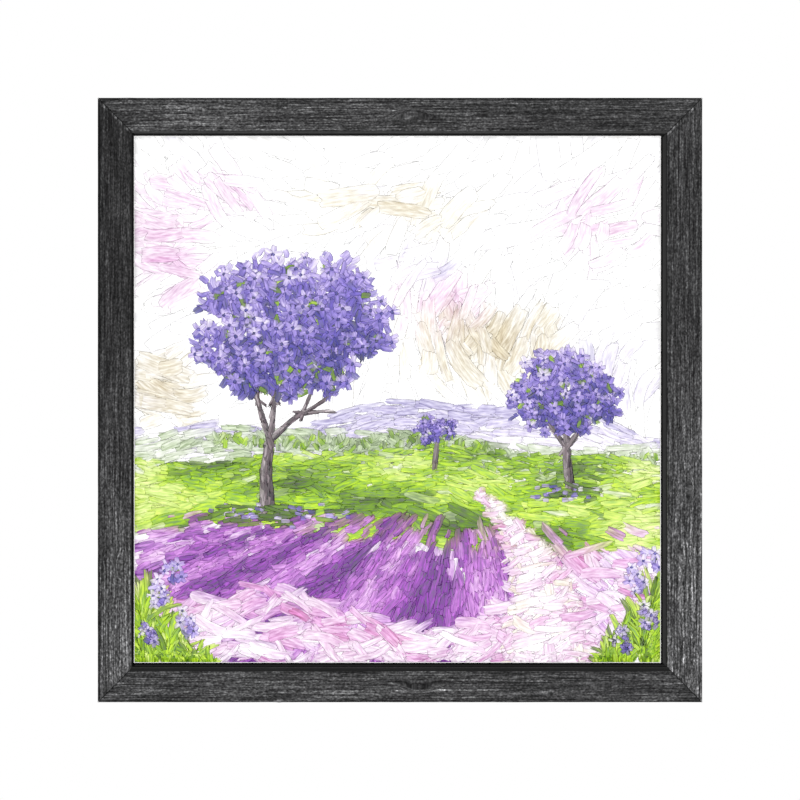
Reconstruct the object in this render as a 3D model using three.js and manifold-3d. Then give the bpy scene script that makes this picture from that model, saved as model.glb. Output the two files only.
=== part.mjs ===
// Square canvas picture in a floater frame, in millimetres.
//
// X points right as seen from the front, Z points up, and the picture faces -Y. The origin is where a wall
// nail meets the hanger, and the wall is the plane Y = 0. Four mitred rails with an L-shaped section hold a
// canvas that is wrapped round stretcher bars and screwed on through the rails' ledge.

import * as THREE from "three";
import { mergeVertices } from "three/addons/utils/BufferGeometryUtils.js";
import Module from "manifold-3d";

const wasm = await Module();
wasm.setup();

// ---- Driving dimensions ----

const inch = 25.4;
const fitGap = 0.3; // clearance between neighbouring pieces
const cutPast = 1; // how far a cut runs on past the face that it opens
const roundSides = 16; // sides of screws, nails and their holes

const canvasSide = 12 * inch;
const canvasShift = new THREE.Vector3(-1.52, 0, 0.38); // the canvas sits a little left and high
const clothThickness = 0.5;
const clothTurn = 28; // width of the cloth that is turned in at the back

const floatGap = inch / 8; // from the face's inner edge to a centred canvas
const faceWidth = 0.75 * inch;
const railWidth = 1.375 * inch; // face, inner edge and ledge together
const frameDepth = 1.25 * inch;
const ledgeThickness = 0.25 * inch;
const outerEase = 0.6; // bevel along the face's outer edge
const innerEase = 1.2; // bevel along the face's inner edge

const barWidth = 1.5 * inch;
const barDepth = 18;
const barRim = 5; // flat outer rim that carries the cloth
const barFall = 2.5; // how far the front falls away behind the cloth

const keyLength = 22;
const keyDepth = 9; // the part of a key that is inside its slot
const keyThickness = 3;
const keyTip = 4;
const keyTail = 9;
const keyLevels = [5.5, 11]; // from the back of the bar to the middle of a key, at its two ends

const screwRadius = 1.75;
const screwLength = 18;
const screwTip = 3; // length of the point
const screwHeadRadius = 3.5;
const screwHeadHeight = 2.2;
const screwHeadFlat = 1.7; // radius of the flat on top of the head
const screwHeadRim = 1.3; // height of the head's straight rim
const screwOffset = 82; // along a rail, either side of its middle
const screwInset = 28.4; // from the frame's outer edge
const screwRecess = { length: 4, width: 0.9, depth: 1.1 };

const vnailLeg = 5;
const vnailThickness = 0.6;
const vnailDepth = 5; // less than the ledge is thick
const vnailInsets = { outer: 8, inner: 26 };

const stapleCrown = 10;
const stapleLeg = 7;
const stapleWire = { width: 1.2, thickness: 0.6 };
const stapleInset = 19; // from the canvas's edge
const stapleSpacing = 52;
const staplesPerSide = 5;

const hangerHeight = 9.5;
const hangerThickness = 0.8;
const hangerFoot = 9;
const hangerRamp = 3;
const hangerBridge = 22;
const hangerLift = 1.8; // the bridge stands this far above the feet
const toothPitch = 2.2;
const toothDepth = 1.6;
const toothTip = 0.4;
const toothCount = 9;

const nailRadius = 0.7;
const nailLength = 9;
const nailTip = 1.5;
const nailHeadRadius = 1.8;
const nailHeadHeight = 0.6;
const nailHeadFlat = 0.9;

const bumperHeight = 3.2;
const bumperRadius = 5;
const bumperFlat = 3.2; // radius of the flat that meets the wall
const bumperShoulder = { radius: 4.3, height: 2.6 };
const bumperInset = 17.5;

// ---- Sizes that follow ----

const outerHalf = canvasSide / 2 + floatGap + faceWidth;
const barHalf = canvasSide / 2 - clothThickness - fitGap;
const barInner = barHalf - barWidth; // half the opening inside the bars

// Depths, measured back from the plane of the frame's front.
const ledgeFront = frameDepth - ledgeThickness;
const turnBack = ledgeFront - fitGap;
const turnFront = turnBack - clothThickness;
const barBack = turnFront - fitGap;
const barFront = barBack - barDepth;
const clothBack = barFront - fitGap;
const clothFront = clothBack - clothThickness;

const hangerBottom = outerHalf - railWidth / 2 - hangerHeight / 2;
const hangHeight = hangerBottom + toothDepth; // the nail sits in a notch, this far above the middle

const sides = ["top", "right", "bottom", "left"];

// ---- Materials ----

function material(color, roughness, metalness = 0) {
  return new THREE.MeshStandardMaterial({ color, roughness, metalness });
}

const charcoalWood = () => material(0x3a3a3b, 0.6);
const primedCanvas = () => material(0xf1ecf3, 0.75);
const pine = () => material(0xd9b98a, 0.7);
const beech = () => material(0xc79a69, 0.65);
const zincSteel = () => material(0xb9bcc0, 0.35, 1);
const brassedSteel = () => material(0xb79a5c, 0.4, 1);
const rubber = () => material(0x26262a, 0.8);

// ---- Solids ----

function toSolid(geometry) {
  const bare = geometry.clone();
  bare.deleteAttribute("normal");
  bare.deleteAttribute("uv");
  const merged = mergeVertices(bare);
  const vertProperties = new Float32Array(merged.attributes.position.array);
  const triVerts = new Uint32Array(merged.index.array);
  return new wasm.Manifold(new wasm.Mesh({ numProp: 3, vertProperties, triVerts }));
}

function toGeometry(solid) {
  const mesh = solid.getMesh();
  const geometry = new THREE.BufferGeometry();
  geometry.setAttribute("position", new THREE.BufferAttribute(mesh.vertProperties, 3));
  geometry.setIndex(new THREE.BufferAttribute(mesh.triVerts, 1));
  geometry.computeVertexNormals();
  return geometry;
}

// The body with each tool cut out of it.
function carve(body, tools) {
  const cut = tools.reduce((solid, tool) => solid.subtract(toSolid(tool)), toSolid(body));
  return toGeometry(cut);
}

function block(low, high) {
  const size = high.map((value, i) => value - low[i]);
  const middle = high.map((value, i) => (value + low[i]) / 2);
  return new THREE.BoxGeometry(...size).translate(...middle);
}

// A round peg along Y, between two depths.
function peg(radius, x, z, front, back) {
  const geometry = new THREE.CylinderGeometry(radius, radius, back - front, roundSides);
  return geometry.translate(x, (front + back) / 2, z);
}

// A flat plate between two depths. Its outline is drawn in X and Z.
function plate(outline, front, back) {
  const shape = new THREE.Shape(outline.map(([x, z]) => new THREE.Vector2(x, -z)));
  const geometry = new THREE.ExtrudeGeometry(shape, { depth: back - front, bevelEnabled: false });
  return geometry.rotateX(-Math.PI / 2).translate(0, front, 0);
}

// A turned piece about Y. Its outline is drawn in radius and depth, from the axis back to the axis.
function turned(outline) {
  return new THREE.LatheGeometry(outline.map(([r, y]) => new THREE.Vector2(r, y)), roundSides);
}

// The top bar of a mitred square. Its section is drawn in the distance in from the square's outer edge and
// the depth, and its ends are cut at 45 degrees, half a clearance short of the mitre line.
function mitredBar(section, half) {
  const shape = new THREE.Shape(section.map(([inset, depth]) => new THREE.Vector2(inset, depth)));
  const geometry = new THREE.ExtrudeGeometry(shape, { depth: 2, bevelEnabled: false });
  const position = geometry.attributes.position;
  for (let i = 0; i < position.count; i += 1) {
    const height = half - position.getX(i);
    const end = position.getZ(i) - 1;
    position.setXYZ(i, end * (height - fitGap / Math.SQRT2), position.getY(i), height);
  }
  geometry.computeVertexNormals();
  return geometry;
}

function add(group, name, geometry, look, x = 0, y = 0, z = 0) {
  const mesh = new THREE.Mesh(geometry, look());
  mesh.name = name;
  mesh.position.set(x, y, z);
  group.add(mesh);
}

// A group turned so that what is made for the top lies along another side.
function sideGroup(parent, index) {
  const group = new THREE.Group();
  group.rotation.y = (index * Math.PI) / 2;
  parent.add(group);
  return group;
}

// ---- Frame rails ----

// The V-nail's outline: two legs along the rails' edges, from a point on the mitre.
function vnailOutline(inset, slack) {
  const corner = outerHalf - inset + slack;
  const inner = corner - vnailThickness - 2 * slack;
  const end = corner - vnailLeg - 2 * slack;
  return [[corner, corner], [end, corner], [end, inner], [inner, inner], [inner, end], [corner, end]];
}

function vnailPockets() {
  const front = frameDepth - vnailDepth - fitGap;
  return Object.values(vnailInsets).flatMap((inset) => {
    const outline = vnailOutline(inset, fitGap);
    const mirrored = outline.map(([x, z]) => [-x, z]);
    return [outline, mirrored].map((points) => plate(points, front, frameDepth + cutPast));
  });
}

function screwHoles(front, back, shift) {
  return [-screwOffset, screwOffset].map((x) =>
    peg(screwRadius + fitGap, x - shift.x, outerHalf - screwInset - shift.z, front, back));
}

function hangerNailSpots() {
  const reach = hangerBridge / 2 + hangerRamp + hangerFoot / 2;
  return [-reach, reach];
}

function nailHoles() {
  const height = hangerBottom + hangerHeight / 2;
  const front = frameDepth - nailLength - fitGap;
  return hangerNailSpots().map((x) => peg(nailRadius + fitGap, x, height, front, frameDepth + cutPast));
}

function addRails(picture) {
  const section = [
    [outerEase, 0], [faceWidth, 0], [faceWidth + innerEase, innerEase],
    [faceWidth + innerEase, ledgeFront], [railWidth, ledgeFront], [railWidth, frameDepth],
    [0, frameDepth], [0, outerEase],
  ];
  sides.forEach((side, i) => {
    const holes = screwHoles(ledgeFront - cutPast, frameDepth + cutPast, new THREE.Vector3());
    const nails = side === "top" ? nailHoles() : [];
    const rail = carve(mitredBar(section, outerHalf), [...holes, ...nails, ...vnailPockets()]);
    add(sideGroup(picture, i), `rail_${side}`, rail, charcoalWood);
  });
}

function addVnails(picture) {
  sides.forEach((side, i) => {
    const next = sides[(i + 1) % sides.length];
    Object.entries(vnailInsets).forEach(([place, inset]) => {
      const nail = plate(vnailOutline(inset, 0), frameDepth - vnailDepth, frameDepth);
      add(sideGroup(picture, i), `vnail_${side}_${next}_${place}`, nail, zincSteel);
    });
  });
}

// ---- Stretcher bars and their corner keys ----

// The canvas shift as seen by a piece that is turned to lie along a side.
function shiftAlong(index) {
  return canvasShift.clone().applyAxisAngle(new THREE.Vector3(0, 1, 0), (-index * Math.PI) / 2);
}

function stapleSpots() {
  return Array.from({ length: staplesPerSide }, (_, k) => (k - (staplesPerSide - 1) / 2) * stapleSpacing);
}

function keyWidthAt(distanceFromTip) {
  return keyTip + ((keyTail - keyTip) * distanceFromTip) / keyLength;
}

// The key at the bar's right end stands in a slot in the bar's inner edge, beside the next bar.
function keyOutline(end) {
  const edge = barInner - fitGap;
  const tip = barInner + keyDepth;
  const tail = tip - keyLength;
  const points = [[edge, tip], [edge - keyTip, tip], [edge - keyTail, tail], [edge, tail]];
  return points.map(([x, z]) => [end * x, z]);
}

function keySlot(end, level) {
  const slotWidth = keyWidthAt(keyDepth) + 2 * fitGap;
  const slotHalf = keyThickness / 2 + fitGap;
  const edges = [end * barInner, end * (barInner - slotWidth)].sort((a, b) => a - b);
  const low = [edges[0], barBack - level - slotHalf, barInner - cutPast];
  const high = [edges[1], barBack - level + slotHalf, barInner + keyDepth + fitGap];
  return block(low, high);
}

// The pockets for the staples' legs, through the cloth and into the bar.
function stapleSlots() {
  const front = turnBack - stapleLeg;
  const back = turnBack + cutPast;
  const height = canvasSide / 2 - stapleInset;
  const halfWidth = stapleWire.width / 2 + fitGap;
  const reach = stapleCrown / 2 - stapleWire.thickness / 2;
  const halfSlot = stapleWire.thickness / 2 + fitGap;
  return stapleSpots().flatMap((spot) => [spot - reach, spot + reach]).map((x) =>
    block([x - halfSlot, front, height - halfWidth], [x + halfSlot, back, height + halfWidth]));
}

function addBars(canvasGroup) {
  const section = [
    [0, barFront], [barRim, barFront], [barWidth, barFront + barFall], [barWidth, barBack], [0, barBack],
  ];
  sides.forEach((side, i) => {
    const screwEnd = frameDepth - screwLength - fitGap;
    const holes = screwHoles(screwEnd, barBack + cutPast, shiftAlong(i));
    const slots = [keySlot(1, keyLevels[0]), keySlot(-1, keyLevels[1])];
    const bar = carve(mitredBar(section, barHalf), [...holes, ...slots, ...stapleSlots()]);
    add(sideGroup(canvasGroup, i), `bar_${side}`, bar, pine);
  });
}

function addKeys(canvasGroup) {
  sides.forEach((side, i) => {
    const ends = [
      { end: 1, level: keyLevels[0], corner: sides[(i + 1) % sides.length] },
      { end: -1, level: keyLevels[1], corner: sides[(i + 3) % sides.length] },
    ];
    ends.forEach(({ end, level, corner }) => {
      const middle = barBack - level;
      const key = plate(keyOutline(end), middle - keyThickness / 2, middle + keyThickness / 2);
      add(sideGroup(canvasGroup, i), `key_${side}_by_${corner}`, key, beech);
    });
  });
}

// ---- Canvas ----

// The cloth is a shallow tray over the bars. Its edge is turned in behind them, where the screws and the
// staples pass through it.
function addCanvas(canvasGroup) {
  const outside = canvasSide / 2;
  const inside = outside - clothThickness;
  const window = outside - clothTurn;
  const wrapped = block([-outside, clothFront, -outside], [outside, turnBack, outside]);
  const hollow = block([-inside, clothBack, -inside], [inside, turnFront, inside]);
  const opening = block([-window, turnFront - cutPast, -window], [window, turnBack + cutPast, window]);
  const holes = sides.flatMap((side, i) => {
    const screws = screwHoles(turnFront - cutPast, turnBack + cutPast, shiftAlong(i));
    return [...screws, ...stapleSlots()].map((hole) => hole.rotateY((i * Math.PI) / 2));
  });
  add(canvasGroup, "canvas", carve(wrapped, [hollow, opening, ...holes]), primedCanvas);
}

// Bent wire staples over the turned edge: a crown along the bar, and two legs driven into it.
function addStaples(canvasGroup) {
  const seat = turnBack + fitGap;
  const top = seat + stapleWire.thickness;
  const tip = seat - stapleLeg;
  const outer = stapleCrown / 2;
  const inner = outer - stapleWire.thickness;
  const outline = [
    [-outer, top], [-outer, tip], [-inner, tip], [-inner, seat],
    [inner, seat], [inner, tip], [outer, tip], [outer, top],
  ];
  const shape = new THREE.Shape(outline.map(([x, y]) => new THREE.Vector2(x, y)));
  const height = canvasSide / 2 - stapleInset - stapleWire.width / 2;
  sides.forEach((side, i) => {
    stapleSpots().forEach((x, k) => {
      const staple = new THREE.ExtrudeGeometry(shape, { depth: stapleWire.width, bevelEnabled: false });
      add(sideGroup(canvasGroup, i), `staple_${side}_${k + 1}`, staple, zincSteel, x, 0, height);
    });
  });
}

// ---- Fasteners, hanger and bumpers ----

function screwGeometry() {
  const seat = fitGap; // the underside of the head, behind the ledge
  const top = seat + screwHeadHeight;
  const tip = seat - screwLength;
  const body = turned([
    [0, tip], [screwRadius, tip + screwTip], [screwRadius, seat], [screwHeadRadius, seat],
    [screwHeadRadius, seat + screwHeadRim], [screwHeadFlat, top], [0, top],
  ]);
  const { length, width, depth } = screwRecess;
  const slot = block([-length / 2, top - depth, -width / 2], [length / 2, top + cutPast, width / 2]);
  return carve(body, [slot, slot.clone().rotateY(Math.PI / 2)]);
}

function addScrews(picture) {
  sides.forEach((side, i) => {
    [-screwOffset, screwOffset].forEach((x, k) => {
      const name = `screw_${side}_${k + 1}`;
      add(sideGroup(picture, i), name, screwGeometry(), zincSteel, x, frameDepth, outerHalf - screwInset);
    });
  });
}

function addHanger(picture) {
  const foot = fitGap;
  const bridge = foot + hangerLift;
  const inner = hangerBridge / 2;
  const ramp = inner + hangerRamp;
  const end = ramp + hangerFoot;
  const half = [[inner, bridge], [ramp, foot], [end, foot]];
  const under = [...half.map(([x, y]) => [-x, y]).reverse(), ...half];
  const over = under.map(([x, y]) => [x, y + hangerThickness]).reverse();
  const strip = new THREE.Shape([...under, ...over].map(([x, y]) => new THREE.Vector2(x, y)));
  const bent = new THREE.ExtrudeGeometry(strip, { depth: hangerHeight, bevelEnabled: false });
  const through = bridge + hangerThickness + cutPast;
  const w = (toothPitch - toothTip) / 2;
  const notches = Array.from({ length: toothCount }, (_, k) => {
    const x = (k - (toothCount - 1) / 2) * toothPitch;
    const outline = [[x - w, -cutPast], [x - w, 0], [x, toothDepth], [x + w, 0], [x + w, -cutPast]];
    return plate(outline, 0, through);
  });
  const holes = hangerNailSpots().map((x) => peg(nailRadius + fitGap, x, hangerHeight / 2, 0, through));
  add(picture, "hanger", carve(bent, [...notches, ...holes]), brassedSteel, 0, frameDepth, hangerBottom);
}

function addHangerNails(picture) {
  const seat = 2 * fitGap + hangerThickness;
  const top = seat + nailHeadHeight;
  const tip = -nailLength;
  const height = hangerBottom + hangerHeight / 2;
  hangerNailSpots().forEach((x, k) => {
    const nail = turned([
      [0, tip], [nailRadius, tip + nailTip], [nailRadius, seat], [nailHeadRadius, seat],
      [nailHeadFlat, top], [0, top],
    ]);
    add(picture, `hanger_nail_${k === 0 ? "left" : "right"}`, nail, brassedSteel, x, frameDepth, height);
  });
}

function addBumpers(picture) {
  [["left", -1], ["right", 1]].forEach(([name, side]) => {
    const bumper = turned([
      [0, fitGap], [bumperRadius, fitGap], [bumperRadius, bumperHeight / 2],
      [bumperShoulder.radius, bumperShoulder.height], [bumperFlat, bumperHeight], [0, bumperHeight],
    ]);
    const reach = outerHalf - bumperInset;
    add(picture, `bumper_${name}`, bumper, rubber, side * reach, frameDepth, -reach);
  });
}

// ---- The picture, hung on its nail ----

const picture = new THREE.Group();
picture.position.set(0, -(bumperHeight + frameDepth), -hangHeight);

const canvasGroup = new THREE.Group();
canvasGroup.position.copy(canvasShift);
picture.add(canvasGroup);

addRails(picture);
addVnails(picture);
addCanvas(canvasGroup);
addBars(canvasGroup);
addKeys(canvasGroup);
addStaples(canvasGroup);
addScrews(picture);
addHanger(picture);
addHangerNails(picture);
addBumpers(picture);

const model = new THREE.Group();
model.add(picture);

export default model;
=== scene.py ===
# A square canvas picture in a charcoal floater frame, seen square from the front, in metres.
# The part's own CAD model is the frame of reference: every piece below lies where its solid is.

import math
import random

import bmesh
import bpy
import numpy as np
from mathutils import Matrix, Vector, noise


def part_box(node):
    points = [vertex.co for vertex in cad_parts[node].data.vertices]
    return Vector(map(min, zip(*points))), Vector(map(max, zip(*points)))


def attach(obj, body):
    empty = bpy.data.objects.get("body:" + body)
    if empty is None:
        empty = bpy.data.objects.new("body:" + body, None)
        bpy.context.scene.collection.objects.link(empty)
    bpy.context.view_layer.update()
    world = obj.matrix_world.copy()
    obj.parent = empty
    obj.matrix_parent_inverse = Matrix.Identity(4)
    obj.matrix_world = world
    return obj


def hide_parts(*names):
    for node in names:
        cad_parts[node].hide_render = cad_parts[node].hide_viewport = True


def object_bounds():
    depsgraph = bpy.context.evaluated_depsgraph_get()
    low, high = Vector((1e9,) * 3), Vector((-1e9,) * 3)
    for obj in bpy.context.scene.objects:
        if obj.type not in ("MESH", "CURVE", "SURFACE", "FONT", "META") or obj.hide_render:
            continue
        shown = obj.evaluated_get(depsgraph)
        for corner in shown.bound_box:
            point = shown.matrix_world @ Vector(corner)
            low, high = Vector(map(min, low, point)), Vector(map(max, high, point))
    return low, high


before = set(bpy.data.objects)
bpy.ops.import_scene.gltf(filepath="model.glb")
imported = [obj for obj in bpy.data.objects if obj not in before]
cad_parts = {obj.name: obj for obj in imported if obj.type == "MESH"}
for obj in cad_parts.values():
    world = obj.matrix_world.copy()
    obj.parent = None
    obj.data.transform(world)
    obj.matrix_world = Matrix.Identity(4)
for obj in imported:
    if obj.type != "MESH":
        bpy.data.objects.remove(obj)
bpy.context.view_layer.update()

mm = 0.001

# ---- Viewpoint ----
# The picture is seen square from the front through a long lens, as in a shop's picture. White surrounds it,
# a soft lamp stands by the camera, and a second one high on the left brings out the relief of the paint.

view_width = 462.3 * mm  # what 800 pixels span at the front of the frame
camera_distance = 10.0
frame_low, frame_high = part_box("rail_left")[0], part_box("rail_right")[1]
outer_half = (frame_high.x - frame_low.x) / 2
middle = Vector((
    (frame_high.x + frame_low.x) / 2,
    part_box("rail_top")[0].y,
    (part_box("rail_top")[1].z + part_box("rail_bottom")[0].z) / 2,
))


def placed(name, data):
    """A new object in the scene."""
    made = bpy.data.objects.new(name, data)
    bpy.context.scene.collection.objects.link(made)
    return made


def mesh_of(bm, name):
    """A mesh made of a bmesh, which is then freed."""
    mesh = bpy.data.meshes.new(name)
    bm.to_mesh(mesh)
    bm.free()
    return mesh


lens = bpy.data.cameras.new("camera")
lens.lens = lens.sensor_width * camera_distance / view_width
lens.clip_start, lens.clip_end = 0.1, 50
camera = placed("camera", lens)
camera.location = middle - Vector((0, camera_distance, 0))
camera.rotation_euler = (math.pi / 2, 0, 0)
bpy.context.scene.camera = camera
bpy.context.scene.view_settings.view_transform = "Standard"

for name, place, size, watts in (
        ("front_lamp", (0.05, -4.6, 0.05), 0.3, 200),
        ("high_left_lamp", (-1.5, -4.2, 1.3), 0.8, 14),
        ("back_lamp", (1.5, 3.4, 2.0), 2.4, 150)):
    light = bpy.data.lights.new(name, "AREA")
    light.shape, light.size, light.energy = "DISK", size, watts
    lamp = placed(name, light)
    lamp.location = middle + Vector(place)
    lamp.rotation_euler = (-Vector(place)).to_track_quat("-Z", "Y").to_euler()


def node(tree, kind, inputs=None, **settings):
    """A shader node, with inputs by name or number. A value may be a node, which gives its first output."""
    made = tree.nodes.new("ShaderNode" + kind)
    for name, value in settings.items():
        setattr(made, name, value)
    for key, value in (inputs or {}).items():
        if isinstance(value, bpy.types.Node):
            value = value.outputs[0]
        if isinstance(value, bpy.types.NodeSocket):
            tree.links.new(value, made.inputs[key])
        else:
            made.inputs[key].default_value = value
    return made


def eased(tree, value, start, end, low=0.0, high=1.0):
    """Runs smoothly from low to high while value runs from start to end."""
    limits = {0: value, 1: start, 2: end, 3: low, 4: high}
    return node(tree, "MapRange", limits, interpolation_type="SMOOTHSTEP")


def mixed(tree, amount, first, second, blend="MIX"):
    return node(tree, "Mix", {0: amount, 6: first, 7: second}, data_type="RGBA", blend_type=blend).outputs[2]


def clouds(tree, place, scale, detail, roughness=0.5):
    """Noise about 0.5, the same in every direction."""
    inputs = {"Vector": place, "Scale": scale, "Detail": detail, "Roughness": roughness}
    return node(tree, "TexNoise", inputs).outputs[0]


def grey(value):
    return (value, value, value, 1.0)


surround_light = 0.2  # the white surround is seen at full strength, and lights the picture at this one
world = bpy.data.worlds.new("white_surround")
bpy.context.scene.world = world
world.use_nodes = True
tree = world.node_tree
tree.nodes.clear()
seen = node(tree, "Background", {"Color": grey(1), "Strength": 1.0})
lighting = node(tree, "Background", {"Color": grey(1), "Strength": surround_light})
node(tree, "OutputWorld", {0: node(tree, "MixShader", {0: node(tree, "LightPath"), 1: lighting, 2: seen})})

# The floor lies below the view. It is pale near the picture and melts into the white surround.
floor_drop, floor_radius, floor_fade = 0.12, 3.0, (0.3, 0.8)
bm = bmesh.new()
bmesh.ops.create_circle(bm, cap_ends=True, segments=96, radius=floor_radius)
bmesh.ops.translate(bm, verts=bm.verts, vec=(0, 0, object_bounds()[0].z - floor_drop))
floor = placed("floor", mesh_of(bm, "floor"))
floor_paint = bpy.data.materials.new("pale floor")
floor_paint.use_nodes = True
tree = floor_paint.node_tree
tree.nodes.clear()
place = node(tree, "TexCoord").outputs["Object"]
flat_place = node(tree, "VectorMath", {0: place, 1: (1, 1, 0)}, operation="MULTIPLY")
reach = node(tree, "VectorMath", {0: flat_place}, operation="LENGTH").outputs["Value"]
matt_colour = mixed(tree, clouds(tree, place, 60.0, 3.0), grey(0.80), grey(0.86))
matt = node(tree, "BsdfDiffuse", {"Color": matt_colour})
to_camera = node(tree, "LightPath").outputs["Is Camera Ray"]
glow = node(tree, "MapRange", {0: to_camera, 3: 0.3, 4: 1.0})
white = node(tree, "Emission", {"Color": grey(1), "Strength": glow})
blended = node(tree, "MixShader", {0: eased(tree, reach, *floor_fade), 1: matt, 2: white})
node(tree, "OutputMaterial", {0: blended})
floor.data.materials.append(floor_paint)

# ---- Rails ----
# Four lengths of one L-shaped pine moulding, mitred and glued at the corners. The face and the outer side
# are wire-brushed, stained charcoal and dry-brushed with pale grey. The rest is painted plain black.

sides = ["top", "right", "bottom", "left"]
rail_width, rail_depth = 34.925 * mm, 31.75 * mm
face_width, ledge_depth = 20.25 * mm, 25.4 * mm
edge_roundings = {0: 0.6, 1: 1.2, 3: 0.5, 4: 0.5, 5: 0.6}  # in millimetres, by corner of the section
rail_rings = 150
end_rings = [0, 0.3, 0.8, 1.5, 2.6, 4.0]  # millimetres from a mitre to the rings of points nearest it
face_grain, plain_grain = 0.11, 0.03  # relief of the brushed and of the plain faces, in millimetres
mitre_groove, painted_rim_width = 0.3, 1.2

# For each rail: where its plain inner edge starts, the tone of its outer rim, the tones of the inner
# edge's front, ledge and wall, and pairs of place along the rail and wear of the face. The rim and
# inner-edge tones differ from rail to rail as painted light: the rim is painted darker on the top, bottom
# and left and lighter on the right, the inner edge and ledge are lighter on the top and right than on the
# bottom and left, and the walls of the top, right and bottom rails are lightened with a painted highlight.
# Places run clockwise, in millimetres from the middle of the rail.
rail_looks = {
    "top": dict(plain=19.3, rim=0.5, black=0.034, ledge=0.060, wall=0.060, wear=[
        (-170, 0.46), (-130, 0.64), (-60, 0.56), (0, 0.46), (80, 0.36), (175, 0.34)]),
    "right": dict(plain=20.3, rim=1.4, black=0.034, ledge=0.036, wall=0.080, wear=[
        (-170, 0.3), (-60, 0.28), (0, 0.44), (60, 0.72), (175, 1.0)]),
    "bottom": dict(plain=17.8, rim=0.75, black=0.013, ledge=0.018, wall=0.036, wear=[
        (-170, 0.4), (-80, 0.43), (0, 0.47), (90, 0.47), (175, 0.45)]),
    "left": dict(plain=19.3, rim=0.28, black=0.016, ledge=0.003, wall=0.003, wear=[
        (-175, 0.85), (-70, 0.68), (0, 0.26), (60, 0.12), (175, 0.06)]),
}
# Knots and chips have a place along the rail, an inset and a size, and dry-brushed streaks have two ends.
knots = {"top": [(7, 9.5, 2.4), (-118, 6, 1.5)], "bottom": [(-11, 9, 2.6), (-117, 8, 1.8)],
         "right": [(52, 7, 1.6)], "left": [(-96, 12, 1.8)]}
chips = {"top": [(-157, 1.6, 1.3)], "right": [(96, 18.6, 0.9)], "bottom": [(70, 1.0, 1.1)]}
streaks = {"bottom": [(168, 4.9, -58, 7.2)], "right": [(10, 10.5, 150, 10.2), (60, 5.8, 165, 6.2)]}

# The ledge is painted darker, as painted shade, where it nears and runs under the canvas, which lies a
# little off the frame's middle.
canvas_low, canvas_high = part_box("canvas")
shade_reach = 1.25
gaps = {
    "top": middle.z + outer_half - canvas_high.z,
    "right": middle.x + outer_half - canvas_high.x,
    "bottom": canvas_low.z - middle.z + outer_half,
    "left": canvas_low.x - middle.x + outer_half,
}


def math_of(tree, operation, a, b=0.0, c=0.0, clamp=False):
    return node(tree, "Math", {0: a, 1: b, 2: c}, operation=operation, use_clamp=clamp)


def times(tree, a, b, clamp=False):
    return math_of(tree, "MULTIPLY", a, b, clamp=clamp)


def plus(tree, a, b, clamp=False):
    return math_of(tree, "ADD", a, b, clamp=clamp)


def times_plus(tree, a, b, c, clamp=False):
    return math_of(tree, "MULTIPLY_ADD", a, b, c, clamp)


def group(name, inputs, outputs):
    """An empty shader node group, what it is given, and what it puts out."""
    tree = bpy.data.node_groups.new(name, "ShaderNodeTree")
    for label, kind in inputs.items():
        tree.interface.new_socket(label, in_out="INPUT", socket_type="NodeSocket" + kind)
    for label, kind in outputs.items():
        tree.interface.new_socket(label, in_out="OUTPUT", socket_type="NodeSocket" + kind)
    return tree, tree.nodes.new("NodeGroupInput").outputs, tree.nodes.new("NodeGroupOutput").inputs


def use(tree, grouped, inputs):
    """What a node group puts out in a material."""
    return node(tree, "Group", inputs, node_tree=grouped).outputs


def material(name, roughness=0.5, metallic=0.0, specular=0.5):
    """A material with its node tree and its Principled shader's inputs."""
    made = bpy.data.materials.new(name)
    made.use_nodes = True
    shader = made.node_tree.nodes["Principled BSDF"].inputs
    shader["Roughness"].default_value = roughness
    shader["Metallic"].default_value = metallic
    shader["Specular IOR Level"].default_value = specular
    return made, made.node_tree, shader


def coat(tree, shader, colour, roughness, height, depth, strength):
    """Links a shader's colour, its roughness if that varies, and its bump, whose depth is in millimetres."""
    tree.links.new(colour, shader["Base Color"])
    if roughness is not None:
        tree.links.new(roughness.outputs[0], shader["Roughness"])
    bump = node(tree, "Bump", {"Strength": strength, "Distance": depth * mm, "Height": height})
    tree.links.new(bump.outputs[0], shader["Normal"])


def in_millimetres(tree, place):
    return node(tree, "VectorMath", {0: place, "Scale": 1 / mm}, operation="SCALE").outputs[0]


def axes_of(tree, place):
    return node(tree, "SeparateXYZ", {0: place}).outputs


def attribute(tree, name):
    return node(tree, "Attribute", attribute_name=name).outputs["Fac"]


def stretched(tree, along, around, long, wide, seed, detail=1.0):
    """Noise about 0.5, with features long by wide millimetres."""
    place = node(tree, "CombineXYZ", {
        0: math_of(tree, "DIVIDE", along, long), 1: math_of(tree, "DIVIDE", around, wide), 2: seed})
    return clouds(tree, place, 1.0, detail)


# Brushed fibres run along X of the given place, in millimetres, from long streaks down to short nicks.
fibres, given, made = group("brushed fibres", {"Place": "Vector"}, {"Fibre": "Float", "Cloud": "Float"})
split = axes_of(fibres, given["Place"])
along, around = split["X"], split["Y"]
wave = math_of(fibres, "SUBTRACT", stretched(fibres, along, around, 26, 8, 1.5, 2.0), 0.5)
bent = times_plus(fibres, wave, 1.3, around)
fibre = None
for long, wide, seed, share in (
        (48, 0.85, 4.2, 2.6), (9, 0.9, 7.7, 1.5), (3.4, 0.85, 9.1, 1.7), (1.25, 0.85, 12.6, 2.6)):
    line = times_plus(fibres, stretched(fibres, along, bent, long, wide, seed), share, -share / 2)
    fibre = line if fibre is None else plus(fibres, fibre, line)
fibres.links.new(fibre.outputs[0], made["Fibre"])
cloud = times_plus(fibres, stretched(fibres, along, around, 30, 6, 11.1, 2.0), 4.0, -2.0)
fibres.links.new(cloud.outputs[0], made["Cloud"])

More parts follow.
